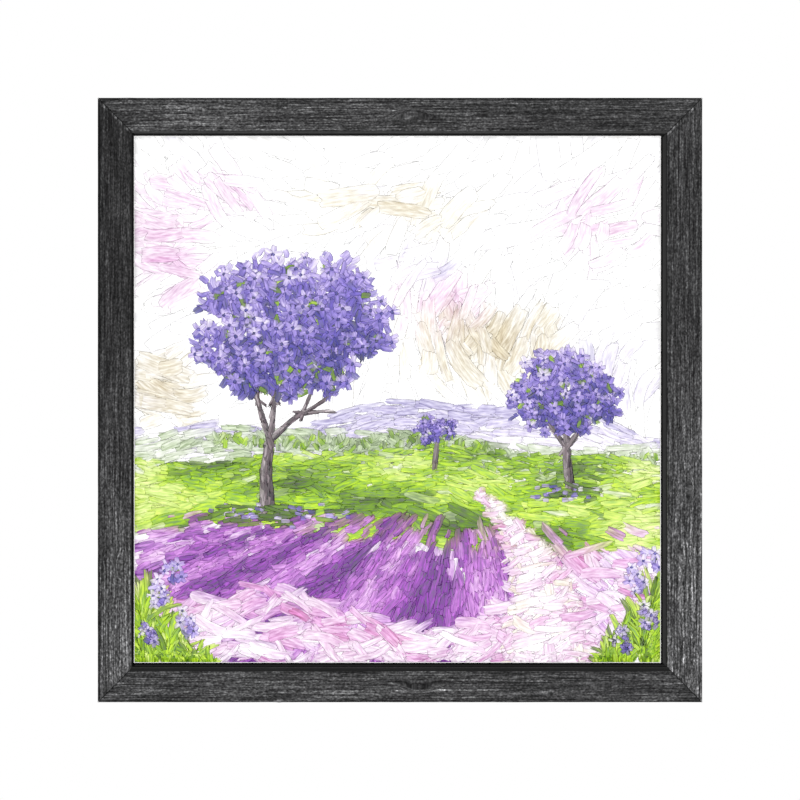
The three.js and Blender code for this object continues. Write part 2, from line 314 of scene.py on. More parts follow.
charcoal, tree, shader = material("brushed charcoal wood", 0.75, specular=0.06)
grain_place = in_millimetres(tree, node(tree, "UVMap", uv_map="grain"))
fibre, cloud = use(tree, fibres, {"Place": grain_place})
wear = attribute(tree, "wear")
contrast = times_plus(tree, wear, 0.5, 1.1)
level = times(tree, times_plus(tree, cloud, 0.25, fibre), contrast)
tone = times(tree, times_plus(tree, wear, 0.053, 0.0178), math_of(tree, "EXPONENT", level))
# dark mitre joints, and a painted shade on three rails' outer rims and a painted highlight on the right
# one's
tone = times(tree, tone, attribute(tree, "joint"), clamp=True)
face_colour = node(tree, "CombineColor", {0: tone, 1: tone, 2: times(tree, tone, 1.02)})
streaky = times_plus(tree, fibre, 0.10, times_plus(tree, cloud, 0.12, 1.0))
black_tone = times(tree, attribute(tree, "black"), streaky)
# painted shade: the ledge darkens next to and under the canvas
black_tone = times(tree, black_tone, eased(tree, attribute(tree, "under"), -0.15, 0.1, 1.0, 0.1))
black_colour = node(tree, "CombineColor", {0: black_tone, 1: black_tone, 2: black_tone})
edge = eased(tree, attribute(tree, "plain"), -0.12, 0.12)
gloss = times_plus(tree, edge, 0.22, times_plus(tree, fibre, -0.06, 0.72), clamp=True)
relief = times(tree, fibre, times_plus(tree, edge, -0.8, 1.0))
coat(tree, shader, mixed(tree, edge, face_colour, black_colour), gloss, relief, 0.07, 0.85)


def new_points(made):
    """The points among what a bmesh operator made."""
    return [g for g in made["geom"] if isinstance(g, bmesh.types.BMVert)]


def rail_section(bm):
    """The moulding's section as one face: x is unused, y the depth from the front, z the inset."""
    corners = [(0, 0), (face_width, 0), (face_width, ledge_depth), (rail_width, ledge_depth),
               (rail_width, rail_depth), (0, rail_depth)]
    points = [bm.verts.new((-1, depth, inset)) for inset, depth in corners]
    bm.faces.new(points)
    for corner, radius in edge_roundings.items():
        bmesh.ops.bevel(bm, geom=[points[corner]], offset=radius * mm, segments=4, profile=0.5,
                        affect="VERTICES", material=-1)
    for edge in list(bm.edges):
        centre = (edge.verts[0].co + edge.verts[1].co) / 2
        step = 0.5 if centre.y < 0.1 * mm else 0.9 if centre.z < 0.1 * mm else 2.2  # face, outer side, rest
        cuts = int(edge.calc_length() / (step * mm))
        if cuts:
            bmesh.ops.subdivide_edges(bm, edges=[edge], cuts=cuts)
    return bm.faces[:][0]


def around_knots(side, along, around):
    """Bends the run of the grain round the knots of a rail; all in millimetres."""
    for knot_along, knot_inset, size in knots[side]:
        far, off = (along - knot_along) / (3.2 * size), (around - knot_inset) / size
        reach = math.hypot(far, off)
        if reach < 4:
            pushed = around + math.copysign(0.8 * size * math.exp(-0.7 * reach * reach), off)
            ringed = knot_inset + size * (0.8 + 0.6 * reach)
            inside = min(1, max(0, (1.5 - reach) / 0.9))
            around = pushed + (ringed - pushed) * inside
    return around


def brushed(along, around, seed):
    """Height of the wire-brushed grain, from -1 to 1; places in millimetres."""
    wide = noise.noise(Vector((along / 46, around / 3.6, seed)))
    fine = noise.noise(Vector((along / 15, around / 1.15, seed + 40)))
    return 0.5 * wide + 0.75 * fine


def made_piece(name, mesh, slot, *nodes):
    """Puts a piece in the scene in place of CAD nodes."""
    piece = placed(name, mesh)
    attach(piece, "root")
    if nodes:
        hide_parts(*nodes)
    return piece


even_rings = [k * 2 / rail_rings for k in range(len(end_rings) + 1)]
set_rings = [r * mm / outer_half for r in end_rings] + [even_rings[-1]]
for turn, side in enumerate(sides):
    look, seed = rail_looks[side], 17.3 * turn
    wear_places, wear_values = zip(*look["wear"])
    shade_start = gaps[side] / mm - shade_reach
    bm = bmesh.new()
    section = rail_section(bm)
    around_of = bm.verts.layers.float.new("around")
    outward = bm.verts.layers.float_vector.new("outward")
    ring = [loop.vert for loop in section.loops]
    flip = -1 if section.normal.x > 0 else 1
    run = 0.0
    for before, here, after in zip(ring[-1:] + ring[:-1], ring, ring[1:] + ring[:1]):
        here[around_of] = run
        run += (after.co - here.co).length
        heading = ((here.co - before.co).normalized() + (after.co - here.co).normalized()).normalized()
        here[outward] = Vector((0, heading.z, -heading.y)) * flip
    moved = bmesh.ops.extrude_face_region(bm, geom=[section], use_keep_orig=True)
    bmesh.ops.translate(bm, verts=new_points(moved), vec=(2, 0, 0))
    lengthwise = [e for e in bm.edges if abs(e.verts[0].co.x - e.verts[1].co.x) > 1]
    bmesh.ops.subdivide_edges(bm, edges=lengthwise, cuts=rail_rings - 1)
    bmesh.ops.recalc_face_normals(bm, faces=bm.faces)

    wear, plain, black, under, joint = (
        bm.verts.layers.float.new(label) for label in ("wear", "plain", "black", "under", "joint"))
    for v in bm.verts:
        inset, depth = v.co.z, v.co.y
        in_front = depth < 2 * mm
        share = 1 - np.interp(1 - abs(v.co.x), even_rings + [1], set_rings + [1])
        share = math.copysign(share, v.co.x)
        v.co.x = along = share * (outer_half - inset)
        a, r = along / mm, inset / mm if in_front else -depth / mm
        on_show = in_front and inset < face_width or inset < 0.1 * mm
        lift = brushed(a, around_knots(side, a, r), seed) * (face_grain if on_show else plain_grain)
        amount = np.interp(a, wear_places, wear_values)
        for chip_along, chip_inset, size in chips.get(side, []):
            near = math.exp(-((a - chip_along) ** 2 + (r - chip_inset) ** 2) / size ** 2)
            lift -= 0.5 * near
            amount += 2.2 * near
        for a0, r0, a1, r1 in streaks.get(side, []):
            t = (a - a0) / (a1 - a0)
            if 0 < t < 1:
                amount += 0.7 * math.exp(-((r - r0 - (r1 - r0) * t) / 0.45) ** 2)
        to_mitre = (1 - abs(share)) * outer_half / mm
        if to_mitre == 0:
            lift -= mitre_groove
        elif to_mitre < 2 and side in ("left", "right") and (side == "left") == (share > 0):
            amount += 1.6 * max(0, noise.noise(Vector((r / 3, 3.3, seed))) + 0.25)
        v.co += v[outward] * lift * mm

        v[wear] = amount
        v[plain] = inset / mm - look["plain"] if in_front else 9.0 if inset > 1 * mm else -9.0
        # The inner edge's front, wall and ledge take their rail's tones, which carry painted light and
        # shade.
        on_wall = depth < 25 * mm and inset > 1 * mm
        v[black] = look["black" if depth < 0.3 * mm else "wall" if on_wall else "ledge"]
        if depth > ledge_depth + 0.1 * mm:  # the back has one tone all round, and is scuffed along its edges
            scuffed = noise.noise(Vector((a / 9, inset / mm, seed + 7)))
            scuffed += noise.noise(Vector((a / 2, r, seed))) - 0.2
            to_edge = min(inset, rail_width - inset) / (1.1 * mm)
            v[black] = 0.026 + 0.05 * max(0, scuffed) * max(0, 1 - to_edge)
        # Painted shade: the ledge is darkened from 1.25 mm short of the canvas's edge on under it.
        v[under] = inset / mm - shade_start if abs(depth - ledge_depth) < 0.1 * mm else -9.0
        # Dark mitre joints, and along the face's outer rim a painted shade on three rails and a painted
        # highlight on the right.
        if to_mitre == 0:
            v[joint] = 0.04
        elif to_mitre < 0.4:
            v[joint] = 0.55
        else:
            v[joint] = 1.0 if r > painted_rim_width or not in_front else look["rim"]

    grain = bm.loops.layers.uv.new("grain")
    for face in bm.faces:
        places = [v[around_of] for v in face.verts]
        wraps = max(places) - min(places) > run / 2
        for loop in face.loops:
            x, depth, inset = loop.vert.co
            around = loop.vert[around_of]
            if wraps and around < run / 2:
                around += run
            if depth < 2 * mm:
                around = around_knots(side, x / mm, inset / mm) * mm
            elif inset < 0.8 * mm:
                around = -depth
            loop[grain].uv = (x + 0.5 * turn, around + 0.1 * turn)
    turned = Matrix.Translation(middle) @ Matrix.Rotation(turn * math.pi / 2, 4, "Y")
    inwards = Matrix.Translation((0, 0, outer_half)) @ Matrix.Diagonal((1, 1, -1, 1))
    bmesh.ops.transform(bm, verts=bm.verts, matrix=turned @ inwards)
    bmesh.ops.reverse_faces(bm, faces=bm.faces)
    mesh = mesh_of(bm, "brushed_rail_" + side)
    for face in mesh.polygons:
        face.use_smooth = True
    mesh.materials.append(charcoal)
    made_piece("brushed_rail_" + side, mesh, "frame_wood", "rail_" + side)

# ---- Canvas ----
# A square of cotton canvas, primed white on its outer side, stretched over the bars. Its sides turn the
# corners and are folded in at the back, where its cut edge has a few loose threads.

canvas_middle = (canvas_low + canvas_high) / 2
canvas_half = (canvas_high.x - canvas_low.x) / 2
side_depth = canvas_high.y - canvas_low.y
cloth_thickness, rim_radius, turned_in = 0.42 * mm, 0.5 * mm, 28 * mm
flat_half = canvas_half - rim_radius
cloth_cells, side_rings, flap_rings = 150, 6, 13
staple_rows, staple_pitch, staple_inset = [-104, -52, 0, 52, 104], 52, 19  # millimetres
# The pleat at each corner is folded under along the mitre: its corners are given across and down from it.
pleat_corners = [(0.9, 0.9), (27.3, 27.3), (34, 27.3), (10, 0.9)]
pleat_lift, pleat_edge = 0.26 * mm, 0.06 * mm
loose_threads, thread_radius, thread_joints = 170, 0.13 * mm, 4
weave_pitch = 0.55  # millimetres


def sagged(x, z):
    """How far the stretched face gives at a place on it."""
    return 0.35 * mm * math.cos(x / canvas_half * 1.5) * math.cos(z / canvas_half * 1.5)


def cloth_course():
    """Inset from the outer edge, depth from the front and run along the cloth, from the front's rim on."""
    r, bend, straight = rim_radius, rim_radius * math.pi / 2, side_depth - 2 * rim_radius
    quarter = [k * math.pi / 6 for k in (1, 2, 3)]
    for a in quarter:
        yield r * (1 - math.sin(a)), r * (1 - math.cos(a)), r * a
    for k in range(1, side_rings + 1):
        yield 0.0, r + straight * k / side_rings, bend + straight * k / side_rings
    for a in quarter:
        yield r * (1 - math.cos(a)), side_depth - r * (1 - math.sin(a)), bend + straight + r * a
    for k in range(1, flap_rings + 1):
        flap = (turned_in - r) * k / flap_rings
        yield r + flap, side_depth, 2 * bend + straight + flap


bm = bmesh.new()
bmesh.ops.create_grid(bm, x_segments=cloth_cells, y_segments=cloth_cells, size=flat_half,
                      matrix=Matrix.Rotation(math.pi / 2, 4, "X"))
run_of = bm.verts.layers.float.new("run")
edge_half = flat_half
for inset, depth, run in cloth_course():
    rim = [e for e in bm.edges if e.is_boundary]
    moved = bmesh.ops.extrude_edge_only(bm, edges=rim)
    spread = (canvas_half - inset) / edge_half
    edge_half = canvas_half - inset
    for v in new_points(moved):
        v.co = (v.co.x * spread, depth, v.co.z * spread)
        v[run_of] = run
cloth_place = bm.loops.layers.uv.new("cloth")
for face in bm.faces:
    centre = face.calc_center_median()
    turned_over = centre.y > 0.01 * mm
    for loop in face.loops:
        x, z, run = loop.vert.co.x, loop.vert.co.z, loop.vert[run_of]
        if turned_over and abs(centre.x) > abs(centre.z):
            x = math.copysign(flat_half + run, centre.x)
        elif turned_over:
            z = math.copysign(flat_half + run, centre.z)
        loop[cloth_place].uv = (x, z)
for v in bm.verts:
    x, depth, z = v.co
    on_upright = abs(x) > abs(z)
    inset = (canvas_half - max(abs(x), abs(z))) / mm
    if depth > side_depth - 0.1 * mm:  # the flap is pulled down under its staples and frays at its cut edge
        place = (z if on_upright else x) / mm
        near = min(abs(place - row) for row in staple_rows)
        pull = math.exp(-(near / 6) ** 2 - ((inset - staple_inset) / 4.5) ** 2)
        swell = 0.5 - 0.5 * math.cos(2 * math.pi * near / staple_pitch)
        v.co.y += (0.13 * swell * min(1, inset / 8) - 0.16 * pull) * mm
        if inset > turned_in / mm - 1:
            fray = 0.55 * noise.noise(Vector((place / 3.1, 2.5, 4))) * mm
            v.co += Vector((math.copysign(fray, x), 0, 0) if on_upright else (0, 0, math.copysign(fray, z)))
    elif depth < 0.1 * mm:
        v.co.y += sagged(x, z)
bmesh.ops.recalc_face_normals(bm, faces=bm.faces)
bmesh.ops.solidify(bm, geom=bm.faces[:], thickness=cloth_thickness)
bmesh.ops.recalc_face_normals(bm, faces=bm.faces)
for face in bm.faces:
    centre = face.calc_center_median()
    if max(abs(centre.x), abs(centre.z)) > canvas_half - 0.7 * mm:
        primed = face.normal.x * centre.x + face.normal.z * centre.z > 0
    else:
        primed = (face.normal.y < 0) == (centre.y < 1 * mm)
    face.material_index = 0 if primed else 1
    face.smooth = True

for end_x, end_z in ((-1, -1), (-1, 1), (1, -1), (1, 1)):
    low = [bm.verts.new((end_x * (canvas_half - across * mm), side_depth - 0.06 * mm,
                         end_z * (canvas_half - down * mm))) for across, down in pleat_corners]
    high = new_points(bmesh.ops.extrude_face_region(bm, geom=[bm.faces.new(low)], use_keep_orig=True))
    on_mitre = [v for v in high if abs(abs(v.co.x) - abs(v.co.z)) < 1e-6]
    for v in high:
        v.co.y += pleat_lift if v in on_mitre else pleat_edge
    pleat = list({f for v in low + high for f in v.link_faces})
    bmesh.ops.recalc_face_normals(bm, faces=pleat)
    for face in pleat:
        face.material_index, face.smooth = 0, True
        for loop in face.loops:
            x, z = loop.vert.co.x, loop.vert.co.z
            loop[cloth_place].uv = (0.7 * (x + z), 0.7 * (x - z))
    lip = [e for e in bm.edges if all(v in on_mitre for v in e.verts)]
    bmesh.ops.bevel(bm, geom=lip, offset=0.18 * mm, segments=2, profile=0.5, affect="EDGES", material=-1)

# Loose threads stand out of the cut edge, each a short bent tube.
rng = random.Random(5)
threads_mesh = bpy.data.meshes.new("loose_threads")
for k in range(loose_threads):
    one = bmesh.new()
    start = Vector((rng.uniform(-0.8, 0.8) * (canvas_half - turned_in), side_depth - 0.25 * mm,
                    canvas_half - turned_in + 0.8 * mm))
    heading = Vector((rng.gauss(0, 0.35), rng.uniform(-0.1, 0.02), -1)).normalized()
    step = rng.uniform(0.35, 1.1) * mm
    upright = heading.to_track_quat("Z", "Y").to_matrix().to_4x4()
    bmesh.ops.create_circle(one, cap_ends=True, segments=5, radius=thread_radius,
                            matrix=Matrix.Translation(start) @ upright)
    cap = one.faces[:][0]
    for joint in range(thread_joints):
        moved = bmesh.ops.extrude_face_region(one, geom=[cap])["geom"]
        if joint > 0:
            bmesh.ops.delete(one, geom=[cap], context="FACES_ONLY")
        cap = next(g for g in moved if isinstance(g, bmesh.types.BMFace))
        heading = (heading + Vector((rng.gauss(0, 0.3), rng.gauss(0, 0.04), rng.gauss(0, 0.2)))).normalized()
        bmesh.ops.translate(one, verts=cap.verts, vec=heading * step)
    side_turn = Matrix.Rotation(rng.randrange(4) * math.pi / 2, 4, "Y")
    bmesh.ops.transform(one, verts=one.verts, matrix=side_turn)
    bmesh.ops.recalc_face_normals(one, faces=one.faces)
    thread_place = one.loops.layers.uv.new("cloth")
    for face in one.faces:
        face.material_index, face.smooth = 1, True
        # The crest is where the weave's painted shade is lightest, so the loose threads come out light.
        for loop in face.loops:  # one place on the crest of a thread of the weave, for that thread's tone
            loop[thread_place].uv = (weave_pitch / 2 * mm, weave_pitch / 2 * mm)
    one.to_mesh(threads_mesh)
    one.free()
    bm.from_mesh(threads_mesh)
bpy.data.meshes.remove(threads_mesh)
bmesh.ops.translate(bm, verts=bm.verts, vec=(canvas_middle.x, canvas_low.y, canvas_middle.z))
canvas = made_piece("stretched_canvas", mesh_of(bm, "stretched_canvas"), "canvas_cloth", "canvas")

# Plain weave: threads go over and under each other at one pitch, in millimetres, with thicker places.
weave, given, made = group("plain weave", {"Place": "Vector", "Pitch": "Float"},
                           {"Height": "Float", "Slub": "Float"})
per_pitch = math_of(weave, "DIVIDE", 1.0, given["Pitch"])
both_ways = node(weave, "CombineXYZ", {0: per_pitch, 1: per_pitch, 2: 0.0})
cells = axes_of(weave, node(weave, "VectorMath", {0: given["Place"], 1: both_ways}, operation="MULTIPLY"))
threads = []
for here, there, shift in (("X", "Y", 0.0), ("Y", "X", math.pi)):
    bulge = math_of(weave, "ABSOLUTE", math_of(weave, "SINE", times(weave, cells[here], math.pi)))
    parity = times(weave, math_of(weave, "FLOOR", cells[here]), math.pi)
    dip = math_of(weave, "SINE", plus(weave, times_plus(weave, cells[there], math.pi, parity), shift))
    threads.append(times(weave, math_of(weave, "POWER", bulge, 0.6), times_plus(weave, dip, 0.5, 0.5)))
weave.links.new(math_of(weave, "MAXIMUM", *threads).outputs[0], made["Height"])
slub = math_of(weave, "MAXIMUM", stretched(weave, cells["X"], cells["Y"], 60, 1.3, 2.0),
               stretched(weave, cells["Y"], cells["X"], 60, 1.3, 8.0))
weave.links.new(slub.outputs[0], made["Slub"])

for label, light, dark, relief in (
        ("primed canvas", (0.93, 0.925, 0.92, 1), (0.86, 0.85, 0.85, 1), 0.10),
        ("raw canvas", (0.72, 0.68, 0.60, 1), (0.50, 0.46, 0.39, 1), 0.22)):
    cotton, tree, shader = material(label, 0.85, specular=0.2)
    cloth_at = in_millimetres(tree, node(tree, "UVMap", uv_map="cloth"))
    height, slub = use(tree, weave, {"Place": cloth_at, "Pitch": weave_pitch})
    stain = clouds(tree, cloth_at, 0.02, 4.0)
    # Painted shade: the colour darkens in the hollows between threads and lightens on their crests; thick
    # slubs are lighter too.
    shade = plus(tree, times(tree, height, 0.55), times(tree, eased(tree, slub, 0.5, 0.8), 0.5), clamp=True)
    colour = mixed(tree, shade, dark, light)
    colour = mixed(tree, eased(tree, stain, 0.45, 0.75, 0.0, 0.35), colour, dark)
    coat(tree, shader, colour, None, height, relief, 0.7)
    canvas.data.materials.append(cotton)

# ---- Picture ----
# A painted country scene in thick strokes on the canvas: a pale sky, far hills, a lime-green meadow with
# trees in violet blossom, and rows of heather. Each stroke is a slab of paint, laid wet over earlier ones.

rng = random.Random(12)
chance, uniform, gauss = rng.random, rng.uniform, rng.gauss
half = canvas_half / mm
cells_out = 180  # the paint's height and colour are kept on a grid of 1 mm cells, this many each way
built_up = np.zeros((2 * cells_out, 2 * cells_out))
wet_paint = np.ones((2 * cells_out, 2 * cells_out, 3))
tallest, trim = 1.3, 0.45  # where the build-up levels off, and how far the paint stops short of the edge
# The dark foot of a stroke is a painted shade along its edge.
spill, darkest_foot_shade = 0.32, 0.55  # how far a stroke's foot spreads, and how dark its foot may be
paint_strength, white_gain = 0.80, 0.13  # how strong the colours come out, and the extra for white


def colours(text):
    """Colours from their hexadecimal codes."""
    return [np.array([int(code[k:k + 2], 16) / 255 for k in (0, 2, 4)]) for code in text.split()]


def between(scale, t):
    """The colour at t, from 0 to 1, along a scale of colours."""
    t = min(0.9999, max(0.0, t)) * (len(scale) - 1)
    return scale[int(t)] + (scale[int(t) + 1] - scale[int(t)]) * (t % 1)


whites = colours("f4f2f8 fcfafd ffffff ffffff ffffff fefefd fcfaf4")
creams = colours("fffefb fcf9ee f6efdc ebe0c4 d6c6a2")
blushes = colours("fffbff fbeefa f6dcf2 efc6ea e4a3db da82c4 cb62a8")
lilacs = colours("a9a0cf bdb6df d3cbed e6dff6 f5f1fa")
sages = colours("7d8f66 9bb085 bccfa6 d8e5c6 f0f4e8")
limes = colours("47661c 5f8a16 7fae12 96c814 acdc1c c6ea48 e0f690")
heathers = colours("642a86 8238a2 9c4db8 b767cc cc84dc dfa8ea f2cff5")
violets = colours("2c2c74 463f98 6454b6 8270cc 9f8cdc bba9ea d6c8f4 eee6fb")
barks = colours("2e2530 4a3d45 6a5a60 90868a b5aaae")

oil, tree, shader = material("thick paint", 0.5, specular=0.25)
bristle_split = axes_of(tree, in_millimetres(tree, node(tree, "UVMap", uv_map="bristle")))
bristle = stretched(tree, bristle_split["X"], bristle_split["Y"], 14, 0.55, 2.0)
drag = stretched(tree, bristle_split["X"], bristle_split["Y"], 6, 1.2, 6.0)
pigment = node(tree, "VertexColor", layer_name="paint").outputs["Color"]
colour = mixed(tree, 0.9, pigment, node(tree, "MapRange", {0: drag, 1: 0.3, 2: 0.7}), blend="SOFT_LIGHT")
# Painted shade: the paint's colour darkens in the bristle grooves, in patches.
shaded_patches = clouds(tree, node(tree, "TexCoord").outputs["Object"], 28.0, 1.0)
groove_shade = times(tree, eased(tree, bristle, 0.42, 0.30, 0.0, 0.42), eased(tree, shaded_patches, 0.42, 0.60))
colour = mixed(tree, groove_shade, colour, mixed(tree, 1.0, colour, (0.55, 0.50, 0.62, 1), blend="MULTIPLY"))
gloss = eased(tree, drag, 0.3, 0.7, 0.40, 0.62)
coat(tree, shader, colour, gloss, times_plus(tree, drag, 0.6, bristle), 0.12, 0.8)

strokes, paint_pieces = [], []


def put(x, z, angle, length, width, scale, t, vary=0.1, bend=0.0, run=0.22):
    """Lists a stroke by its middle in millimetres and its colour t on a scale, which runs along it."""
    t += gauss(0, vary)
    last = t + rng.choice((-1, 1)) * run * chance()
    strokes.append((x, z, angle, length, width, bend, between(scale, t), between(scale, last)))


def blank_stroke(along, across):
    """A slab 1 by 1 by 1 of along by across cells: first its underside, then its sides and its top."""
    bm = bmesh.new()
    bmesh.ops.create_grid(bm, x_segments=along, y_segments=across, size=0.5)
    raised = bmesh.ops.extrude_face_region(bm, geom=bm.faces[:], use_keep_orig=True)
    bmesh.ops.translate(bm, verts=new_points(raised), vec=(0, 0, 1))
    bmesh.ops.recalc_face_normals(bm, faces=bm.faces)
    bm.faces.sort(key=lambda face: face.calc_center_median().z)
    return mesh_of(bm, "blank stroke")


def meeting(cells):
    """The four cells that meet at each inner corner of a grid."""
    return cells[:-1, :-1], cells[1:, :-1], cells[:-1, 1:], cells[1:, 1:]


def lay_strokes(name, along, across, pickup=0.5, relief=1.0, stiff=0.0, soft=0.0):
    """Makes one piece of the strokes on the list, and empties it. A stroke picks up the colour it runs over,
    at its end and, where it is soft, at its start. Stiff paint bridges what lies under it."""
    blank = blank_stroke(along, across)
    first = placed(name, blank)
    copies = first.modifiers.new("copies", "ARRAY")
    copies.count, copies.relative_offset_displace = len(strokes), (0, 0, 0)
    mesh = bpy.data.meshes.new_from_object(first.evaluated_get(bpy.context.evaluated_depsgraph_get()))
    mesh.name = name
    bpy.data.objects.remove(first)

    local = np.empty(3 * len(blank.vertices))
    blank.vertices.foreach_get("co", local)
    s0, w0, raised = local.reshape(-1, 3).T
    raised = raised > 0.5
    i, j = np.rint((s0 + 0.5) * along).astype(int), np.rint((w0 + 0.5) * across).astype(int)
    at_start, at_end, at_side = i == 0, i == along, (j == 0) | (j == across)
    shaper = np.random.default_rng(len(strokes))
    ridge = np.interp(np.abs(np.linspace(-1, 1, across + 1)), (0, 0.5, 1), (0.9, 0.85, 0.4))[None, :]
    ends = np.interp(np.linspace(0, 1, along + 1), (0, 0.2, 0.8, 1), (0.5, 0.9, 1.0, 0.8))[:, None]
    run = np.linspace(0, 1, along + 1)[:, None]
    worked_in = np.maximum(run, soft * (1 - run)) ** 2
    places, paints, bristles = [], [], []
    for x, z, angle, length, width, bend, first_colour, last_colour in strokes:
        cos, sin, thickness = math.cos(angle), math.sin(angle), (0.035 + 0.011 * width) * relief

        def laid(s, w):
            """Where a place along and across the stroke comes to lie on the canvas."""
            off = w + bend / length * (s * s - length * length / 4)
            return x + s * cos - off * sin, z + s * sin + off * cos

        # What lies under the stroke, by blocks of cells.
        per_s, per_w = max(1, math.ceil(length / along)), max(1, math.ceil(width / across))
        fine_s, fine_w = along * per_s, across * per_w
        column, row = laid(((np.arange(fine_s) + 0.5) / fine_s - 0.5)[:, None] * length,
                           ((np.arange(fine_w) + 0.5) / fine_w - 0.5)[None, :] * width)
        column = np.clip((column + cells_out).astype(int), 0, 2 * cells_out - 1)
        row = np.clip((row + cells_out).astype(int), 0, 2 * cells_out - 1)
        under = built_up[row, column].reshape(along, per_s, across, per_w).max(axis=(1, 3))
        under = np.maximum.reduce(meeting(np.pad(under, 1, mode="edge")))
        under += (under.mean() + under.max() - 2 * under) * stiff / 2
        below = wet_paint[row, column].reshape(along, per_s, across, per_w, 3).mean(axis=(1, 3))
        below = sum(meeting(np.pad(below, ((1, 1), (1, 1), (0, 0)), mode="edge"))) / 4

        # Its own paint: two colours that run into each other hair by hair, and some of the colour below.
        hairs = shaper.uniform(0, 1, (3, across + 1))
        flow = np.clip(0.7 * run + 0.6 * hairs[0] - 0.15, 0, 1)[..., None]
        taken = np.clip(pickup * (0.2 + 0.7 * hairs[1] + 0.8 * worked_in), 0, 0.9)[..., None]
        own = first_colour + (last_colour - first_colour) * flow + 0.07 * (hairs[2][None, :, None] - 0.5)
        own = own + (below - own) * taken
        level = sum(meeting(under)) / 4 + 0.7 * thickness
        built_up[row, column] = level.repeat(per_s, axis=0).repeat(per_w, axis=1)
        wet_paint[row, column] = (sum(meeting(own)) / 4).repeat(per_s, axis=0).repeat(per_w, axis=1)

        # Its shape: ragged ends, an uneven width, a spread foot, and a body that follows what lies under it.
        ragged = shaper.uniform(0, 1, (2, across + 1)) ** 1.5 * min(0.3, 5 / length)
        ragged = np.minimum(ragged * [[1.0], [1.6]], 2 / along - 0.08)
        s = s0 * length * np.where(at_start, 1 - ragged[0][j], np.where(at_end, 1 - ragged[1][j], 1.0))
        waver = shaper.uniform(0, 1, (2, along + 1))[(w0 > 0).astype(int), i] * at_side
        w = w0 * width * (np.interp(i / along, (0, 0.2, 0.7, 1), (0.82, 1, 0.97, 0.74)) - 0.14 * waver)
        foot = np.where(raised, 0.0, spill)
        s, w = s + np.sign(s0) * foot * (at_start | at_end), w + np.sign(w0) * foot * at_side
        px, pz = laid(s, w)
        body = thickness * ridge * ends * shaper.uniform(0.8, 1.2, (along + 1, across + 1))
        height = under[i, j] + np.where(raised, body[i, j], -0.03)
        to_edge = np.clip((half - np.maximum(np.abs(px), np.abs(pz))) / 5, 0, 1)
        height = tallest * (1 - np.exp(-height / tallest)) * (0.2 + 0.8 * to_edge)
        places.append(np.stack((px, -height, pz), axis=1))
        # painted shade at the foot of some strokes, broken into dashes
        foot_shade = darkest_foot_shade * relief ** 2 * shaper.uniform(0, 1) ** 5
        broken = np.clip(2 * shaper.uniform(0, 1, (along + 1, across + 1))[i, j] - 0.6, 0, 1)
        shade = 1 - np.where(raised, 0.0, foot_shade) * broken
        paints.append(np.clip(own[i, j], 0, 1) * shade[:, None])
        bristles.append(np.stack((s + shaper.uniform(0, 400), w + shaper.uniform(0, 400)), axis=1))

    places, paints, bristles = (np.concatenate(a) for a in (places, paints, bristles))
    mesh.vertices.foreach_set("co", (places * mm).ravel())
    linear = np.where(paints < 0.04045, paints / 12.92, ((paints + 0.055) / 1.055) ** 2.4)
    linear *= paint_strength + white_gain * np.clip(4 * linear.min(axis=1) - 3, 0, 1)[:, None]
    # Painted light: paint within 2.5 mm of the canvas's edge is up to 14% lighter, against the frame's shade
    # there.
    linear *= 1.14 - 0.14 * np.clip((half - np.abs(places[:, (0, 2)]).max(axis=1)) / 2.5, 0, 1)[:, None]
    layer = mesh.color_attributes.new("paint", "FLOAT_COLOR", "POINT")
    layer.data.foreach_set("color", np.concatenate((linear, np.ones((len(linear), 1))), axis=1).ravel())
    corners = np.empty(len(mesh.loops), dtype=int)
    mesh.loops.foreach_get("vertex_index", corners)
    bristle_map, bake_map = mesh.uv_layers.new(name="bristle"), mesh.uv_layers.new(name="OFBake")
    bristle_map.data.foreach_set("uv", (bristles[corners] * mm).ravel())
    bake_map.data.foreach_set("uv", (places[corners][:, (0, 2)] / (2 * half) + 0.5).ravel())

    # Paint that ran over the canvas's edge is trimmed, and the strokes keep their order.
    bm = bmesh.new()
    bm.from_mesh(mesh)
    order = bm.faces.layers.int.new("order")
    for k, face in enumerate(bm.faces):
        face[order] = k
    reach = (half - trim) * mm
    for side in (Vector((1, 0, 0)), Vector((-1, 0, 0)), Vector((0, 0, 1)), Vector((0, 0, -1))):
        if max(v.co.dot(side) for v in bm.verts) > reach:
            all_of_it = bm.verts[:] + bm.edges[:] + bm.faces[:]
            cut = bmesh.ops.bisect_plane(bm, geom=all_of_it, plane_co=side * reach, plane_no=side,
                                         clear_outer=True)["geom_cut"]
            bmesh.ops.holes_fill(bm, edges=[g for g in cut if isinstance(g, bmesh.types.BMEdge)], sides=0)
    bm.faces.sort(key=lambda face: face[order])
    for v in bm.verts:
        v.co += Vector((canvas_middle.x, canvas_low.y + sagged(v.co.x, v.co.z), canvas_middle.z))
    bm.to_mesh(mesh)
    bm.free()
    for face in mesh.polygons:
        face.use_smooth = face.normal.y < 0.5  # a flat underside keeps the sides' shading soft
    mesh.materials.append(oil)
    paint_pieces.append(made_piece(name, mesh, "canvas_cloth"))
    strokes.clear()


def limited(value):
    return min(1.0, max(0.0, value))


def spread_evenly(k, low, high):
    """The k-th of many places that leave no gap: one across the canvas, and one from low to high."""
    return half * (2 * (k * 0.7548777 % 1) - 1), low + (high - low) * (k * 0.5698403 % 1)


def ridge_line(level, *waves):
    """A rolling line: waves of a height, a width and a phase about a level."""
    return lambda x: level + sum(high * math.sin(x / wide + phase) for high, wide, phase in waves)


def slope(line, x):
    return math.atan2(line(x + 5) - line(x - 5), 10)


def drift(x, z):
    """The angle of the sky's strokes at a place."""
    return 0.55 + 0.9 * math.sin(x / 66 + 0.6) + 0.7 * math.cos(z / 40 + x / 120)


